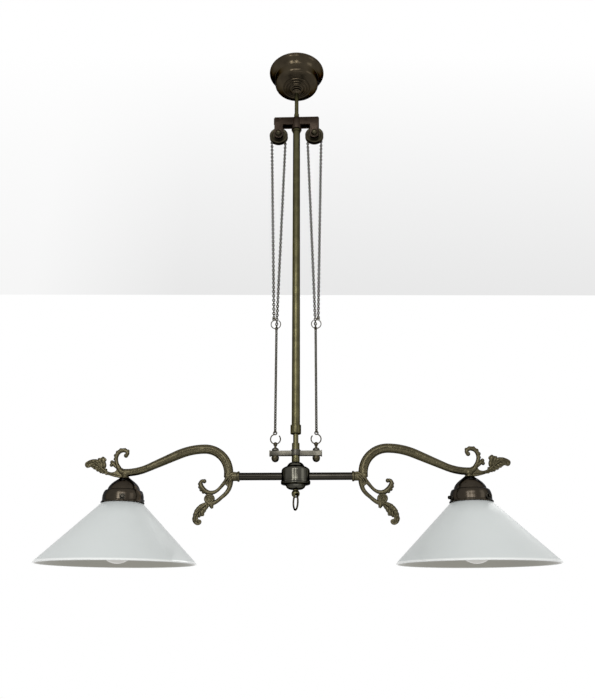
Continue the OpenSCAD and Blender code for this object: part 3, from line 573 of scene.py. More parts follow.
def rod_along(points: Sequence[Triple], radii: Sequence[float], smooth: bool = True,
              sides: int = 8, flatten: float = 1.0) -> Piece:
    """A round bar along a path in the X-Z plane.

    Args:
        points: path points in millimetres.
        radii: the bar's radius at each point, in millimetres.
        smooth: takes the points as a smooth curve, not as straight stretches.
        sides: resolution of the bar's section.
        flatten: the section's depth along Y over its width.

    Returns:
        The bar as a mesh object.
    """
    deselect()
    bpy.ops.curve.primitive_bezier_curve_add(location=(0, 0, 0))
    piece = bpy.context.object
    curve = piece.data
    curve.splines.clear()
    spline = curve.splines.new("BEZIER" if smooth else "POLY")
    store = spline.bezier_points if smooth else spline.points
    store.add(len(points) - 1)
    for slot, point, radius in zip(store, points, radii):
        place = metres(point)
        slot.co = place if smooth else (*place, 1)
        slot.radius = radius
        if smooth:
            slot.handle_left_type = slot.handle_right_type = "AUTO"
    curve.bevel_depth = MM
    curve.bevel_resolution = sides // 2
    curve.resolution_u = 8
    curve.use_fill_caps = True
    bpy.ops.object.convert(target="MESH")
    piece = bpy.context.object
    if flatten != 1.0:
        with editing(piece):
            bpy.ops.transform.resize(value=(1, flatten, 1), center_override=(0, 0, 0))
    return piece


def leaf_plate(outline: Sequence[Point], depth: float, round_mm: float,
               grow_mm: float = 0.0) -> Piece:
    """A cast leaf: a closed outline in the X-Z plane with rounded faces.

    Args:
        outline: (x, z) points in millimetres.
        depth: full depth along Y.
        round_mm: how far its edges are rounded.
        grow_mm: how far it reaches beyond its outline.

    Returns:
        The leaf as a mesh object.
    """
    deselect()
    bpy.ops.curve.primitive_bezier_curve_add(location=(0, 0, 0), rotation=(math.pi / 2, 0, 0))
    piece = bpy.context.object
    curve = piece.data
    curve.dimensions = "2D"
    curve.splines.clear()
    spline = curve.splines.new("BEZIER")
    spline.use_cyclic_u = True
    spline.bezier_points.add(len(outline) - 1)
    area = sum(a[0] * b[1] - b[0] * a[1] for a, b in zip(outline, [*outline[1:], outline[0]]))
    for slot, point in zip(spline.bezier_points, outline if area > 0 else outline[::-1]):
        slot.co = (point[0] * MM, point[1] * MM, 0)
        slot.handle_left_type = slot.handle_right_type = "AUTO"
    curve.fill_mode = "BOTH"
    curve.resolution_u = 4
    curve.extrude = (depth / 2 - round_mm) * MM
    curve.bevel_depth = round_mm * MM
    curve.bevel_resolution = 2
    curve.offset = (grow_mm - round_mm) * MM
    bpy.ops.object.convert(target="MESH")
    return bpy.context.object


def knob(centre: Triple, radius: float, squeeze: Triple = (1, 1, 1)) -> Piece:
    """A cast ball end, squeezed along its axes."""
    deselect()
    bpy.ops.mesh.primitive_uv_sphere_add(segments=20, ring_count=12, radius=radius * MM,
                                         location=metres(centre))
    piece = bpy.context.object
    piece.scale = squeeze
    return piece


def join(parts: Sequence[Piece]) -> Piece:
    """Joins several mesh objects into one."""
    deselect()
    for part in parts:
        part.select_set(True)
    bpy.context.view_layer.objects.active = parts[0]
    bpy.ops.object.join()
    return bpy.context.object


def mirror_to(piece: Piece, side: Side) -> Piece:
    """Moves a piece made for the right-hand side to the side asked for."""
    if side is Side.LEFT:
        use_only(piece)
        piece.scale.x = -1
        bpy.ops.object.transform_apply(location=True, rotation=True, scale=True)
        with editing(piece):
            bpy.ops.mesh.normals_make_consistent(inside=False)
    return piece


class Workshop:
    """Dresses pieces and hangs them on the frame's bodies."""

    def __init__(self, shelf: FinishShelf) -> None:
        """Keeps the shelf that the finishes come from."""
        self.shelf = shelf

    def dress(self, piece: Piece, finish: Finish) -> None:
        """Gives a piece one finish all over."""
        piece.data.materials.clear()
        piece.data.materials.append(self.shelf.take(finish))

    def hang(self, piece: Piece, name: str, finish: Finish, body: str,
             replaces: Iterable[str] = (), smooth_deg: float = SMOOTH_DEG) -> Piece:
        """Finishes a new piece and makes it ride on its body.

        Args:
            piece: the modelled object.
            name: the piece's name.
            finish: its finish.
            body: the CAD body it rides on.
            replaces: CAD nodes that it stands for.
            smooth_deg: edges sharper than this stay sharp.

        Returns:
            The finished piece.
        """
        piece = settle(piece, name, smooth_deg)
        self.dress(piece, finish)
        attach(piece, body)
        if replaces:
            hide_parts(*replaces)
        log.info("%s: %d faces on %s", name, len(piece.data.polygons), body)
        return piece


# --- Sub-assemblies -------------------------------------------------------------------------


def finishes_of(frame: dict) -> dict[str, Finish]:
    """The finish of each CAD node, by the material slot in its record."""
    by_name = {finish.value.name: finish for finish in Finish}
    return {part["node"]: by_name[part["material_slot"]] for part in frame["record"]["subparts"]}


@dataclass
class CarriedNodes:
    """The CAD nodes whose shape is right, which get their finish."""

    frame: dict
    shop: Workshop

    def dress_all(self) -> None:
        """Gives each CAD node the finish of its material slot."""
        finishes = finishes_of(self.frame)
        for name, node in self.frame["nodes"].items():
            self.shop.dress(node, finishes[name])
        log.info("dressed %d CAD nodes", len(self.frame["nodes"]))


@dataclass
class Chain:
    """One chain: standing strand, wrap over the pulley and the tail down to its end hook."""

    shop: Workshop
    side: Side
    eye: Point = (34.7255, -775.125)
    grip: Point = (35.0, -587.5)
    axle: Point = (36.0, -164.0)
    run_radius: float = 14.0
    tail_end: Point = (39.8607, -566.292)
    low_links: int = 43
    top_links: int = 198
    link_length: float = 7.2
    link_width: float = 5.9
    wire: float = 2.0
    low_turns_deg: tuple[int, int] = (45, -45)
    top_turns_deg: tuple[int, int] = (8, 98)

    def route(self) -> list[Point]:
        """Points of the upper route, from the grip over the pulley to the tail's end."""
        return [self.grip, *arc(self.axle, self.run_radius, 180, 0, 16), self.tail_end]

    def model_link(self) -> Piece:
        """One oval link, long along Z, with a few dozen faces."""
        deselect()
        middle = (self.link_width - self.wire) / 2
        bpy.ops.mesh.primitive_torus_add(major_segments=12, minor_segments=5,
                                         major_radius=middle * MM, minor_radius=self.wire / 2 * MM,
                                         rotation=(math.pi / 2, 0, 0))
        link = bpy.context.object
        bpy.ops.object.transform_apply(rotation=True)
        half = middle * MM * 0.3
        bpy.ops.object.mode_set(mode="EDIT")
        for way in (1, -1):
            bpy.ops.mesh.select_all(action="DESELECT")
            bpy.ops.object.mode_set(mode="OBJECT")
            for vertex in link.data.vertices:
                vertex.select = vertex.co.z * way > half
            bpy.ops.object.mode_set(mode="EDIT")
            shift = (self.link_length - self.link_width) / 2 * MM * way
            bpy.ops.transform.translate(value=(0, 0, shift))
        bpy.ops.object.mode_set(mode="OBJECT")
        return link

    def lay(self, link: Piece, places: Sequence[tuple[Point, float, int]],
            name: str) -> Piece:
        """Copies the link to its places and joins the copies.

        Args:
            link: the modelled link.
            places: (point, direction angle in radians, turn about it in degrees) of each copy.
            name: name of the strand.

        Returns:
            The strand.
        """
        copies = []
        for (x, z), angle, turn_deg in places:
            copy = link.copy()
            copy.data = link.data.copy()
            bpy.context.collection.objects.link(copy)
            turn = Matrix.Rotation(math.radians(turn_deg), 4, "Z")
            lean = Matrix.Rotation(math.pi / 2 - angle, 4, "Y")
            copy.matrix_world = Matrix.Translation((x * MM, 0, z * MM)) @ lean @ turn
            copies.append(copy)
        strand = join(copies)
        return mirror_to(settle(strand, name, 60), self.side)

    def build(self) -> None:
        """Models both strands and the wrap, and hangs the wrap on the upper frame; the strands
        hang on no body.
        """
        link = self.model_link()
        low = [((self.eye[0] + (self.grip[0] - self.eye[0]) * i / self.low_links,
                 self.eye[1] + (self.grip[1] - self.eye[1]) * i / self.low_links),
                math.pi / 2, self.low_turns_deg[i % 2]) for i in range(self.low_links)]
        route = [Vector(p) for p in self.route()]
        lengths = [(b - a).length for a, b in zip(route, route[1:])]
        step = sum(lengths) / self.top_links
        top = []
        for i in range(self.top_links + 1):
            s, k = i * step, 0
            while k < len(lengths) - 1 and s > lengths[k]:
                s -= lengths[k]
                k += 1
            way = (route[k + 1] - route[k]).normalized()
            spot = route[k] + way * s
            top.append(((spot.x, spot.y), math.atan2(way.y, way.x), self.top_turns_deg[i % 2]))
        turn_start = lengths[0]
        turn_end = sum(lengths) - lengths[-1]
        standing = low + [p for i, p in enumerate(top) if i * step <= turn_start]
        wrap = [p for i, p in enumerate(top) if turn_start < i * step < turn_end]
        tail = [p for i, p in enumerate(top) if i * step >= turn_end]
        word = self.side.word
        pieces = [(self.lay(link, standing, f"{word}_chain_standing"), "lower_frame",
                   self.axle[1], self.eye[1]),
                  (self.lay(link, wrap, f"{word}_chain_wrap"), None, 0, 0),
                  (self.lay(link, tail, f"{word}_chain_tail"), f"{word}_hook_body",
                   self.axle[1], self.tail_end[1])]
        for piece, far, top_z, low_z in pieces:
            self.shop.dress(piece, Finish.DARK_BRASS)
            if far is None:
                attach(piece, "upper_frame")
                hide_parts(f"{word}_chain")
            else:
                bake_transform(piece)
                self.stretch_evenly(piece, top_z * MM, low_z * MM)
            log.info("%s: %d faces", piece.name, len(piece.data.polygons))
        bpy.data.objects.remove(link)

    @staticmethod
    def stretch_evenly(piece: Piece, top: float, low: float) -> None:
        """Does nothing: the strand is not made to follow its far body.

        Args:
            piece: not used.
            top: not used.
            low: not used.
        """


@dataclass
class SoftEdgedCopies:
    """Merged copies of CAD castings and plates, with their sharp edges rounded."""

    frame: dict
    shop: Workshop
    widths_mm: dict[str, float] = field(default_factory=lambda: {
        "pulley_bracket": 0.7, "bracket_cover_plate": 0.5, "crossbar": 0.5, "bell_nuts": 0.3,
        "acorn_nuts": 0.3, "axle_cap_nuts": 0.4, "left_pulley": 0.45, "right_pulley": 0.45,
        "rod_foot": 0.3, "tube_collar": 0.5, "tube_socket": 0.3})

    def build(self) -> None:
        """Copies, merges, bevels and hangs each of them in its node's place."""
        finishes = finishes_of(self.frame)
        for node, width in self.widths_mm.items():
            source = self.frame["nodes"][node]
            piece = source.copy()
            piece.data = source.data.copy()
            piece.parent = None
            for key in [key for key in piece.keys() if key.startswith("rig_")]:
                del piece[key]
            bpy.context.collection.objects.link(piece)
            if "custom_normal" in piece.data.attributes:
                piece.data.attributes.remove(piece.data.attributes["custom_normal"])
            with editing(piece):
                bpy.ops.mesh.remove_doubles(threshold=CAD_WELD)
                bpy.ops.mesh.dissolve_limited(angle_limit=math.radians(1))
                bpy.ops.mesh.normals_make_consistent(inside=False)
            soften(piece, width, sharper_than_deg=40)
            self.shop.hang(piece, f"{node}_soft", finishes[node], source["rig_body"], [node],
                           smooth_deg=35)


@dataclass
class Rose:
    """The ceiling rose: rolled rim, ogee, straight tier and ringed nose."""

    shop: Workshop
    ogee: Sequence[Point] = ((56.4, -0.5), (57, -1), (57, -2.4), (56.3, -3.1), (54.9, -3.5),
                             (54.3, -4.6), (52.6, -6.8), (50, -9.4), (47.7, -12), (46.3, -14.4))
    tier: Sequence[Point] = ((46, -15.4), (45.3, -15.9), (45, -16.8), (45, -30), (44.5, -32.5),
                             (43.4, -34.6), (41.8, -35.9), (36, -38.2), (29.6, -40.7))
    ring_radii: Sequence[float] = (28.4, 22.6, 17.2)
    ring_top: float = -41.4
    ring_step: float = 1.5
    ring: Sequence[Point] = ((0, 0.9), (-0.3, -0.5), (-1.2, -0.9), (-2, -0.4), (-2.5, 0.5))
    nose: Sequence[Point] = ((13.2, -45.4), (11, -46))
    inner: Sequence[Point] = ((11, -45), (28, -39.6), (41, -34.4), (43.7, -30), (43.7, -16.6),
                              (45, -14), (50.6, -7.6), (55.4, -3.4), (55.6, -0.5))

    def outline(self) -> list[Point]:
        """The rose's closed outline, with a groove outside each ring of its nose."""
        points = [*self.ogee, *self.tier]
        for index, radius in enumerate(self.ring_radii):
            points += moved(self.ring, (radius, self.ring_top - self.ring_step * index))
        return [*points, *self.nose, *self.inner]

    def build(self) -> None:
        """Turns the rose and hangs it on the ceiling mount."""
        piece = turned(self.outline(), steps=96, bevel_mm=0.15)
        self.shop.hang(piece, "rose", Finish.ROSE_BRASS, "ceiling_mount", ["canopy_cup"], 30)


@dataclass
class Hub:
    """The hub's body and its dished cover."""

    shop: Workshop
    top: float = -828.0
    mouth: float = -862.0

    def build(self) -> None:
        """Turns both shells and hangs them on the lower frame."""
        body = [(4.6, 0), (6.6, -0.1), (9.6, -0.9), (12, -2.7), (13.8, -5.1), (14.6, -6.8),
                (15.4, -7), (17.5, -8.1), (20.2, -9.6), (22.2, -11.2), (23.2, -13.2), (23.4, -15),
                (23.4, -30.6), (24.2, -31.2), (24.2, -34), (21.4, -34), (21.4, -14), (12, -8),
                (4.6, -6)]
        piece = turned(moved(body, (0, self.top)), bevel_mm=0.15)
        self.shop.hang(piece, "hub_shell", Finish.HUB_GUNMETAL, "lower_frame", ["hub_body"], 32)
        cover = [(4.2, -0.2), (23.4, -0.2), (24, -0.7), (24, -1.6), (22.8, -2.3), (18.4, -3.2),
                 (16.6, -3.9), (15.9, -5.2), (14.6, -7.6), (12.2, -9.4), (9.4, -10.3),
                 (5.6, -10.5), (4.2, -10.4)]
        piece = turned(moved(cover, (0, self.mouth)), bevel_mm=0.15)
        self.shop.hang(piece, "hub_dish", Finish.HUB_GUNMETAL, "lower_frame", ["hub_cover"], 32)


@dataclass
class ShadeUnit:
    """One gallery with its screw bosses and the opal shade it holds."""

    shop: Workshop
    side: Side
    reach: float = 282.0
    top: float = -852.858
    lip: float = -893.858
    rim: float = -988.258
    boss_reach: float = 33.1
    boss_lift: float = 7.0
    boss_radii: Point = (3.7, 0.75)
    neck_radii: Point = (33.6, 31.5)
    rim_radii: Point = (124.6, 122.3)
    # Radius and height of the rim band that takes the painted highlight.
    painted_highlight_band: Point = (121.8, 3.0)

    @property
    def axis_x(self) -> float:
        """Where the unit's axis crosses the X axis, in millimetres."""
        return self.side.value * self.reach

    def build_gallery(self) -> None:
        """Turns the gallery: waisted dome, step, straight wall and flared lip."""
        outer = [(5.2, 0), (8, 0), (8.7, -0.4), (10, -1.6), (13.8, -4.3), (17.8, -7.4),
                 (21, -10.4), (23.4, -13.4), (25.2, -16.6), (26.1, -19.6), (26.3, -20.2),
                 (27, -20.7), (29.2, -21.1), (30.2, -21.8), (31, -23.4), (32, -26), (33, -30.5),
                 (33, -37.2), (33.5, -38.4), (34.8, -39.7), (34.8, -41)]
        inner = [(33.8, -41), (33.8, -40.1), (32, -37.6), (32, -30.5), (31, -26.4), (29.8, -23.4),
                 (28.6, -22.4), (25.6, -21.6), (24.2, -17), (22.5, -14), (20.2, -11.2),
                 (17.2, -8.4), (12.5, -5), (8.4, -1.2), (5.2, -1.2)]
        piece = turned(moved(outer + inner, (0, self.top)), self.axis_x, bevel_mm=0.12)
        self.shop.hang(piece, f"{self.side.word}_gallery_shell", Finish.GALLERY_BROWN,
                       "lower_frame", [f"{self.side.word}_gallery"], 32)

    def build_bosses(self) -> None:
        """Presses a ringed boss round each shade screw."""
        rings = []
        for angle in SCREW_ANGLES_DEG[self.side]:
            turn = math.radians(angle)
            centre = (self.axis_x + self.boss_reach * math.cos(turn),
                      self.boss_reach * math.sin(turn), self.lip + self.boss_lift)
            deselect()
            bpy.ops.mesh.primitive_torus_add(major_segments=28, minor_segments=8,
                                             major_radius=self.boss_radii[0] * MM,
                                             minor_radius=self.boss_radii[1] * MM,
                                             location=metres(centre),
                                             rotation=(0, math.pi / 2, turn))
            rings.append(bpy.context.object)
        self.shop.hang(join(rings), f"{self.side.word}_screw_bosses", Finish.BAR_BRASS,
                       "lower_frame", (), 60)

    def build_shade(self) -> None:
        """Turns the shade, with painted shade inside it: a warmer, duller copy of its outside."""
        top = self.lip - 0.4
        neck_out, neck_in = self.neck_radii
        rim_out, rim_in = self.rim_radii
        outer = [(26, top + 16), (29.2, top + 16), (30, top + 15.4), (30, top + 13.6),
                 (29, top + 12.6), (29, top + 2.4), (29.4, top + 0.7), (31, top - 0.1),
                 (neck_out, top - 0.5)]
        slant = [(neck_out + (rim_out - neck_out) * t, top - 0.5 + (self.rim + 2 - top + 0.5) * t)
                 for t in (0.25, 0.5, 0.75, 0.985, 1)]
        rim = [(125, self.rim + 1.4), (124.9, self.rim + 0.7), (124.2, self.rim + 0.1),
               (123.2, self.rim), (rim_in, self.rim + 0.5)]
        inside = [(rim_in + (neck_in - rim_in) * t, self.rim + 0.9 + (top - 3.9 - self.rim) * t)
                  for t in (0.02, 0.25, 0.5, 0.75, 1)] + [(28, top - 2.6), (26.4, top - 1),
                                                         (26, top + 1)]
        piece = turned([*outer, *slant, *rim, *inside], self.axis_x, 96)
        piece = self.shop.hang(piece, f"{self.side.word}_opal_shade", Finish.OPAL_GLASS,
                               "lower_frame", [f"{self.side.word}_shade"], 40)
        # Painted shade: a darker, warmer opal for the inside faces.
        piece.data.materials.append(self.shop.shelf.take(Finish.OPAL_INSIDE_PAINTED_SHADE))
        # Painted highlight: a lighter, glossier opal for the rim band.
        piece.data.materials.append(self.shop.shelf.take(Finish.OPAL_RIM_PAINTED_HIGHLIGHT))
        axis = Vector((self.axis_x * MM, 0, 0))
        band_radius, band_height = self.painted_highlight_band
        # Inward faces below the lip take the painted shade; faces in the rim band, the painted
        # highlight.
        for face in piece.data.polygons:
            out = face.center - axis
            inwards = face.normal.x * out.x + face.normal.y * out.y < 0
            at_rim = face.center.z < (self.rim + band_height) * MM
            if at_rim and math.hypot(out.x, out.y) > band_radius * MM:
                face.material_index = 2
            elif inwards and face.center.z < (self.lip - 1) * MM:
                face.material_index = 1

    def build(self) -> None:
        """Builds the gallery, its bosses and the shade."""
        self.build_gallery()
        self.build_bosses()
        self.build_shade()


@dataclass
class ScrollArm:
    """One cast arm: socket, tapering bar with ribs and beads, root scroll and leaf, tip leaf."""

    shop: Workshop
    side: Side
    root: Point = (110.5, -851.0)
    tip: Point = (282.0, -843.858)
    root_radius: float = 7.7
    tip_radius: float = 6.2
    root_bend: tuple[Point, float] = ((152, -846.5), 41.5)
    long_bend: tuple[Point, float] = ((152, -915), 110)
    tip_bend: tuple[Point, float] = ((282, -752.858), 91)
    taper: Point = (196.7, 245.0)
    rib_tilts_deg: Point = (38, -38)
    rib_radius: float = 0.75
    scallop: Triple = (1, 1.3, 1)
    lobe_shape: Triple = (1.4, 3.1, 0.76)
    parts: list = field(default_factory=list)

    def bar_path(self) -> list[Point]:
        """Centre line of the bar from the root to the tip."""
        return [(self.root[0], -852.0), *arc(*self.root_bend, 180, 90, 18),
                *arc(*self.long_bend, 87, 66, 7), *arc(*self.tip_bend, -114, -88, 9)]

    def radius_at(self, point: Point) -> float:
        """The bar's radius at a point of its path."""
        start, end = self.taper
        share = min(max((point[0] - start) / (end - start), 0), 1)
        return self.root_radius + (self.tip_radius - self.root_radius) * share

    def on_faces(self, points: Sequence[Point], radii: Sequence[float], depth: float,
                 at: Point = (0, 0)) -> None:
        """Lays a raised rib along the same path on the front and on the back.

        Args:
            points: (x, z) points of the rib.
            radii: its radius at each point.
            depth: distance of its centre line from the X-Z plane.
            at: origin of the points.
        """
        for way in (-1, 1):
            path = [(x, way * depth, z) for x, z in moved(points, at)]
            self.parts.append(rod_along(path, radii, sides=6))

    def rod(self, points: Sequence[Point], radii: Sequence[float], at: Point,
            flatten: float = 1.0) -> None:
        """Adds a cast rod in the X-Z plane."""
        path = [(x, 0, z) for x, z in moved(points, at)]
        self.parts.append(rod_along(path, radii, sides=10, flatten=flatten))

    def build_bar(self) -> None:
        """Models the bar, its four ribs and the rows of beads between them."""
        path = self.bar_path()
        radii = [self.radius_at(p) for p in path]
        self.parts.append(rod_along([(x, 0, z) for x, z in path], radii, smooth=False, sides=20))
        for tilt in self.rib_tilts_deg:
            lift, depth = math.sin(math.radians(tilt)), math.cos(math.radians(tilt))
            ribs = []
            for index, (point, radius) in enumerate(zip(path, radii)):
                ahead = path[min(index + 1, len(path) - 1)]
                back = path[max(index - 1, 0)]
                way = Vector((ahead[0] - back[0], ahead[1] - back[1])).normalized()
                ribs.append((point[0] - way.y * radius * lift, radius * depth,
                             point[1] + way.x * radius * lift))
            for face in (-1, 1):
                self.parts.append(rod_along([(x, face * y, z) for x, y, z in ribs[1:-1]],
                                            [self.rib_radius] * (len(ribs) - 2),
                                            smooth=False, sides=6))
        for bend, start, end, count, size in (
                (self.root_bend, 168, 90, 19, 1.3), (self.long_bend, 86, 67, 12, 1.25),
                (self.tip_bend, -113, -96, 9, 1.2)):
            places = arc(*bend, start, end, count)
            depth = self.radius_at(places[0])
            for x, z in places:
                for face in (-1, 1):
                    self.parts.append(self.bead((x, face * depth, z), size))

    def lobes(self, places: Sequence[tuple[float, float, float, float]], at: Point) -> None:
        """Adds the rounded lobes of a leaf.

        Args:
            places: (x, z) of each lobe's middle, the way it points in degrees from X towards Z,
                and its length, near its half.
            at: origin of the places.
        """
        long, deep, wide = self.lobe_shape
        for x, z, angle, length in places:
            piece = knob((at[0] + x, 0, at[1] + z), 1, (length * long, deep, length * wide))
            piece.rotation_euler = (0, -math.radians(angle), 0)
            self.parts.append(piece)

    def knobs(self, places: Sequence[Triple], at: Point,
              squeeze: Triple = (1, 1, 1)) -> None:
        """Adds cast ball ends, each given as (x, z, radius) from the origin given."""
        for x, z, radius in places:
            self.parts.append(knob((at[0] + x, 0, at[1] + z), radius, squeeze))

    def plate(self, outline: Sequence[Point], depth: float, round_mm: float, at: Point,
              grow_mm: float = 0.0) -> None:
        """Adds a leaf plate whose outline counts from the origin given."""
        self.parts.append(leaf_plate(moved(outline, at), depth, round_mm, grow_mm))

    @staticmethod
    def bead(centre: Triple, radius: float) -> Piece:
        """A small round bead."""
        deselect()
        bpy.ops.mesh.primitive_ico_sphere_add(subdivisions=2, radius=radius * MM,
                                              location=metres(centre))
        return bpy.context.object

    def build_socket(self) -> None:
        """Models the socket with its collar, and the leaf that wraps from it to the bar."""
        profile = [(6.3, -18), (8.2, -18), (8.5, -17.4), (8.5, -15.6), (8.1, -15), (7.3, -14.4),
                   (7.3, -3), (8.2, -1), (8.2, 3), (6.4, 5.5), (0.1, 6), (0.1, 0), (6.3, 0)]
        piece = turned(profile, steps=40, bevel_mm=0.15)
        piece.rotation_euler = (0, math.pi / 2, 0)
        piece.location = metres((self.root[0], 0, self.root[1]))
        use_only(piece)
        bpy.ops.object.transform_apply(location=True, rotation=True)
        self.parts.append(piece)
        self.on_faces([(-14, 4.6), (-8, 4.4), (-2, 0.5), (3.5, -5.5), (6.5, -9.5)],
                      [1.6, 2.3, 2.9, 2.4, 1.2], 5.6, self.root)
        self.on_faces([(-14, -2.5), (-8.5, -3), (-4, -6.5), (-1.5, -11)], [1.4, 2.2, 2.4, 1.2],
                      5.2, self.root)
        self.on_faces([(-9, 1), (-3, -3.5), (1, -9)], [1, 1.6, 1], 6.6, self.root)

    def build_root_scroll(self) -> None:
        """Models the pierced scroll under the root, its knot, bud and curling leaf."""
        at = self.root
        self.rod([(-4, -4), (-3.6, -10.5), (-2.9, -15.2), (-0.7, -21.7), (4, -28.1),
                  (10.3, -33.7), (15.8, -38.5), (21.5, -42), (26.5, -43.6), (32, -44)],
                 [4.4, 4.2, 3.9, 3.5, 3.3, 3.1, 3.2, 3.4, 3.4, 3], at, 1.1)
        self.rod([(3, -6), (7.9, -11.9), (13.7, -18.8), (19, -23.5), (24.6, -25.8),
                  (31.1, -26.2), (38.2, -22.7), (43.5, -16.8), (45.4, -11.9), (44.4, -8),
                  (40.7, -6.4)], [3.6, 3, 2.6, 2.7, 3.2, 3.8, 4.2, 4.2, 3.7, 3, 2.6], at, 1.1)
        web = [(8.6, -9.8), (3.9, -5), (-4.6, -11), (-4, -14), (-1.2, -18), (2, -14.8),
               (5, -12.4), (8, -12.8)]
        self.plate(web, 6, 1.2, at, 0.4)
        self.knobs([(39.6, -7.4, 3.5)], at)
        self.knobs([(1, -10, 5.2)], at, (1.1, 0.75, 0.9))
        self.knobs([(47.4, -12, 2.5), (46.6, -17, 2.7), (44.2, -21.4, 2.8), (40.2, -25, 2.8)], at,
                   self.scallop)
        disc = [(29.8 + 8.6 * math.cos(t), -36 + 8.2 * math.sin(t))
                for t in np.linspace(0, math.tau, 12, endpoint=False)]
        self.plate(disc, 6.6, 1.6, at)
        curl = [(30.1 + (6.6 - 5.2 * i / 14) * math.cos(0.72 * i),
                 -35.6 + (6.6 - 5.2 * i / 14) * math.sin(0.72 * i)) for i in range(15)]
        self.on_faces(curl, [1.3] * 14 + [1.9], 3.2, at)
        self.rod([(26.5, -44), (25.8, -47.6), (24.4, -51)], [3.6, 3.5, 2], at)
        leaf = [(28.5, -41.5), (37.7, -42.3), (42.8, -44.8), (45.8, -46.2), (46.6, -49.2),
                (49.6, -50), (50, -53.4), (52.8, -54.6), (52.6, -58), (54.6, -60.4),
                (54, -63.6), (55.4, -66.4), (54.3, -71.5), (50.8, -75.6), (46.4, -76.9),
                (42.3, -75), (41.3, -71.6), (43.2, -69.2), (46.3, -68.6), (46.9, -65.3),
                (45.2, -61.7), (42.7, -63), (40.6, -61.4), (38.9, -63), (37.3, -59.8),
                (37.8, -57.4), (35.2, -55.4), (35.6, -52.6), (32.6, -50.3), (28.5, -46.4),
                (23, -43.2), (22, -40)]
        self.plate(leaf, 3.6, 1, at, 0.5)
        self.knobs([(45.8, -72.2, 3)], at)
        self.on_faces([(28, -43), (36, -46.2), (43, -51.4), (47.6, -57.6), (50.6, -65),
                       (50, -71.6)], [0.3, 1.4, 1.4, 1.3, 1.2, 0.5], 3, at)
        self.lobes([(40.4, -46.6, -15, 4.6), (45, -49.8, -35, 4.6), (48.6, -54, -50, 4.6),
                    (51, -59.2, -65, 4.4), (52.2, -64.8, -78, 4.2), (51.8, -70, -95, 3.8),
                    (33.6, -48.6, -75, 3.6), (37, -52.6, -80, 4.4), (40.6, -57.4, -85, 4.6),
                    (44.6, -60.6, -85, 3.8)], at)

    def build_tip(self) -> None:
        """Models the shade's boss, the upright scroll and the open leaf beyond it."""
        at = self.tip
        profile = [(5.2, -9), (6.8, -9), (6.9, -7.6), (6, -6.6), (5.8, -5.4), (6.8, -4), (6.6, 0),
                   (4.4, 4.6), (0.1, 5.6), (0.1, -2), (5.2, -2)]
        self.parts.append(turned(moved(profile, (0, at[1])), at[0], 40, 0.15))
        self.on_faces([(0, -1.6), (0.3, -1.9)], [2.3, 2.3], 6.2, at)
        self.rod([(1, -1), (8, 2.6), (12.6, 8.9), (15.8, 14.8), (18, 22.3), (17.6, 29),
                  (14.8, 34.1), (9.3, 37.2), (3.6, 36.8), (0, 33.1), (1, 28.6)],
                 [5, 4.4, 3.6, 3, 3.1, 3.4, 3.6, 3.6, 3.4, 3.2, 2.8], at, 1.1)
        self.knobs([(2, 28.6, 3.7)], at)
        self.knobs([(19.8, 22.6, 2.6), (19.9, 28.8, 2.8), (17, 34.4, 2.8), (11.8, 38.4, 2.8),
                    (4.8, 38.8, 2.6), (-0.6, 36.4, 2.4)], at, self.scallop)
        self.rod([(13, 7), (18.4, 11.6), (23.6, 15.8)], [2.6, 3, 2.9], at, 0.9)
        self.knobs([(24.4, 17.6, 3.2), (25, 12.8, 3), (20.6, 16.6, 2.6)], at, (1, 1.1, 1))
        leaf = [(2, -6.5), (6, -8.2), (12.5, -7.6), (21, -5.7), (29.6, -3.2), (33, -3),
                (35, -0.6), (38.6, -1.2), (40.6, 1.8), (44.2, 1.4), (46, 4.4), (49.6, 4.2),
                (51.6, 7.4), (54.8, 7.4), (59.6, 10.2), (62.5, 9.2), (65.8, 8.8), (68.6, 11.6),
                (68.9, 16), (65.2, 19.2), (60, 21.5), (55, 22.3), (49.4, 20.9), (47.4, 23.2),
                (43.6, 24.8), (40.3, 25.7), (36.4, 24.2), (34.9, 20.8), (37.4, 18.3),
                (37.8, 14.9), (36.3, 9.9), (32.9, 4.4), (26.7, 0.8), (20.8, 0.5), (16.3, 2.8),
                (14.6, 7.6), (12, 10), (8, 8), (2, 4)]
        self.plate(leaf, 3.6, 1, at, 0.4)
        self.knobs([(65.2, 12.6, 3.3)], at)
        self.on_faces([(8, -4.6), (21, -2.4), (31, 0.6), (38.6, 6.4), (45.6, 12), (53, 16.6),
                       (60, 17.4), (65, 14.6)], [0.3, 1.2, 1.5, 1.6, 1.5, 1.4, 1.3, 0.5], 3.1, at)
        self.lobes([(34.4, 2.6, -60, 3.4), (39.4, 3.8, -50, 4), (44.4, 6.4, -40, 4.2),
                    (49.6, 9.4, -30, 4.2), (54.6, 11.8, -10, 4), (37, 12.4, 85, 4.6),
                    (39.4, 20.4, 75, 5), (45, 19.4, 60, 4.4), (50.4, 18.8, 25, 4.6),
                    (56.4, 19, -5, 4.4), (62.4, 16.6, -35, 4.4)], at)

    def build(self) -> None:
        """Models the whole arm for the right-hand side and hangs it on its own side."""
        self.parts.clear()
        self.build_bar()
        self.build_socket()
        self.build_root_scroll()
        self.build_tip()
        for part in self.parts:
            settle(part, part.name)
        piece = mirror_to(join(self.parts), self.side)
        self.shop.hang(piece, f"{self.side.word}_scroll_arm", Finish.ARM_BRASS, "lower_frame",
                       [f"{self.side.word}_arm"], 40)


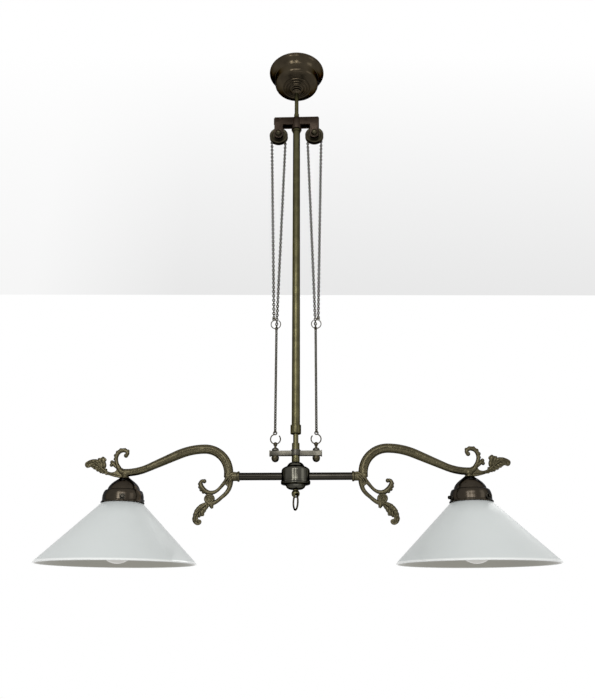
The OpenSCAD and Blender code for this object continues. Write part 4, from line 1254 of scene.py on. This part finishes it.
@dataclass
class Studio:
    """Camera, lamps and world. The lamp hangs, so there is no floor below it."""

    camera_at: Triple = (0.03655, -1.05728, -1.03877)
    camera_turn_deg: Triple = (111.23, -0.09, 1.8)
    lens: float = 33.1
    panel_row: float = 295.0
    panel_sides: Point = (-0.46, -0.2)
    panel_greys: Point = (0.08, 0.19)
    panel_height: float = 0.54
    room_levels: Point = (0.43, 0.36)

    def set_camera(self) -> None:
        """Puts the camera where the photograph was taken from."""
        deselect()
        bpy.ops.object.camera_add(location=self.camera_at,
                                  rotation=[math.radians(a) for a in self.camera_turn_deg])
        camera = bpy.context.object
        camera.data.lens = self.lens
        camera.data.sensor_width = SENSOR_MM
        camera.data.clip_start = 0.02
        bpy.context.scene.camera = camera

    def lamp(self, name: str, at: Triple, to: Triple, size: Point, power: float) -> None:
        """Adds one soft box.

        Args:
            name: the lamp's name.
            at: its place in metres.
            to: the point it faces.
            size: its width and height in metres.
            power: its power in watts.
        """
        deselect()
        bpy.ops.object.light_add(type="AREA", location=at)
        lamp = bpy.context.object
        lamp.name = name
        lamp.data.shape = "RECTANGLE"
        lamp.data.size, lamp.data.size_y = size
        lamp.data.energy = power
        lamp.rotation_euler = (Vector(to) - Vector(at)).to_track_quat("-Z", "Y").to_euler()

    def set_lamps(self) -> None:
        """Lights the lamp with narrow strips in front and soft boxes round it."""
        middle = (0, 0, -0.6)
        self.lamp("left_strip", (-0.78, -2.0, -0.25), middle, (0.36, 1.5), 12)
        self.lamp("front_strip", (0.03, -2.15, -0.3), middle, (0.3, 1.5), 8)
        self.lamp("high_strip", (-0.05, -2.0, 0.28), (0, 0, -0.85), (1.5, 0.55), 11)
        self.lamp("right_box", (2.1, -1.2, -0.2), middle, (0.9, 1.6), 6)
        self.lamp("low_box", (0.1, -1.2, -2.0), (0, 0, -0.9), (1.6, 0.9), 5)
        self.lamp("rim_box", (0.9, 1.4, 0.3), middle, (1.2, 1.2), 8)

    @staticmethod
    def along(graph: Graph, way: Triple) -> Socket:
        """How far the sky's direction goes along a given way."""
        return graph.add("VectorMath", {0: graph.add("TexCoord")["Generated"], 1: way},
                         operation="DOT_PRODUCT")["Value"]

    def panel_level(self, graph: Graph) -> Socket:
        """Level of the photograph's backdrop: a panel, greyer towards its lower edge, on white.

        Args:
            graph: the world's graph.

        Returns:
            The level, 1 for white.
        """
        yaw = math.radians(self.camera_turn_deg[2])
        focal = self.lens / SENSOR_MM * PHOTO_ROWS
        edge = math.tan(math.radians(self.camera_turn_deg[0] - 90)
                        + math.atan((PHOTO_ROWS / 2 - self.panel_row) / focal))
        ahead = self.along(graph, (-math.sin(yaw), math.cos(yaw), 0))
        depth = graph.reckon("MAXIMUM", ahead, 0.05)
        rise = graph.reckon("DIVIDE", self.along(graph, (0, 0, 1)), depth)
        aside = graph.reckon("DIVIDE", self.along(graph, (math.cos(yaw), math.sin(yaw), 0)), depth)
        grey = graph.spread(aside, *self.panel_sides, *self.panel_greys)
        for share in (graph.spread(rise, edge, edge + self.panel_height, 1.0, 0.0),
                      graph.reckon("GREATER_THAN", rise, edge), graph.spread(ahead, 0.3, 0.7)):
            grey = graph.reckon("MULTIPLY", grey, share)
        return graph.reckon("SUBTRACT", 1.0, grey)

    def set_world(self) -> None:
        """A pale room that lights the lamp, and the backdrop for what is seen or reflected."""
        world = bpy.data.worlds.new("pale_room")
        bpy.context.scene.world = world
        world.use_nodes = True
        nodes = world.node_tree.nodes
        graph = Graph(world.node_tree)
        level = graph.spread(self.along(graph, (0, 1, 0)), -0.8, 0.8, *self.room_levels)
        graph.fill(nodes["Background"], {"Color": level})
        backdrop = graph.add("Background", {"Color": self.panel_level(graph)})
        ray = graph.add("LightPath")
        seen = graph.reckon("MAXIMUM", ray["Is Camera Ray"], ray["Is Glossy Ray"])
        seen = graph.reckon("MAXIMUM", seen, ray["Is Transmission Ray"])
        mix = graph.add("MixShader", {"Fac": seen, 1: nodes["Background"].outputs[0],
                                      2: backdrop["Background"]})
        graph.fill(nodes["World Output"], {"Surface": mix["Shader"]})

    def build(self) -> None:
        """Sets the whole studio."""
        self.set_camera()
        self.set_lamps()
        self.set_world()
        bpy.context.scene.view_settings.view_transform = "Standard"


def main() -> None:
    """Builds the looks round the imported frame."""
    logging.basicConfig(level=logging.INFO, format="%(message)s")
    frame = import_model()
    shop = Workshop(FinishShelf())
    Studio().build()
    CarriedNodes(frame, shop).dress_all()
    SoftEdgedCopies(frame, shop).build()
    Rose(shop).build()
    Hub(shop).build()
    for side in Side:
        Chain(shop, side).build()
        ShadeUnit(shop, side).build()
        ScrollArm(shop, side).build()


if __name__ == "__main__":
    main()
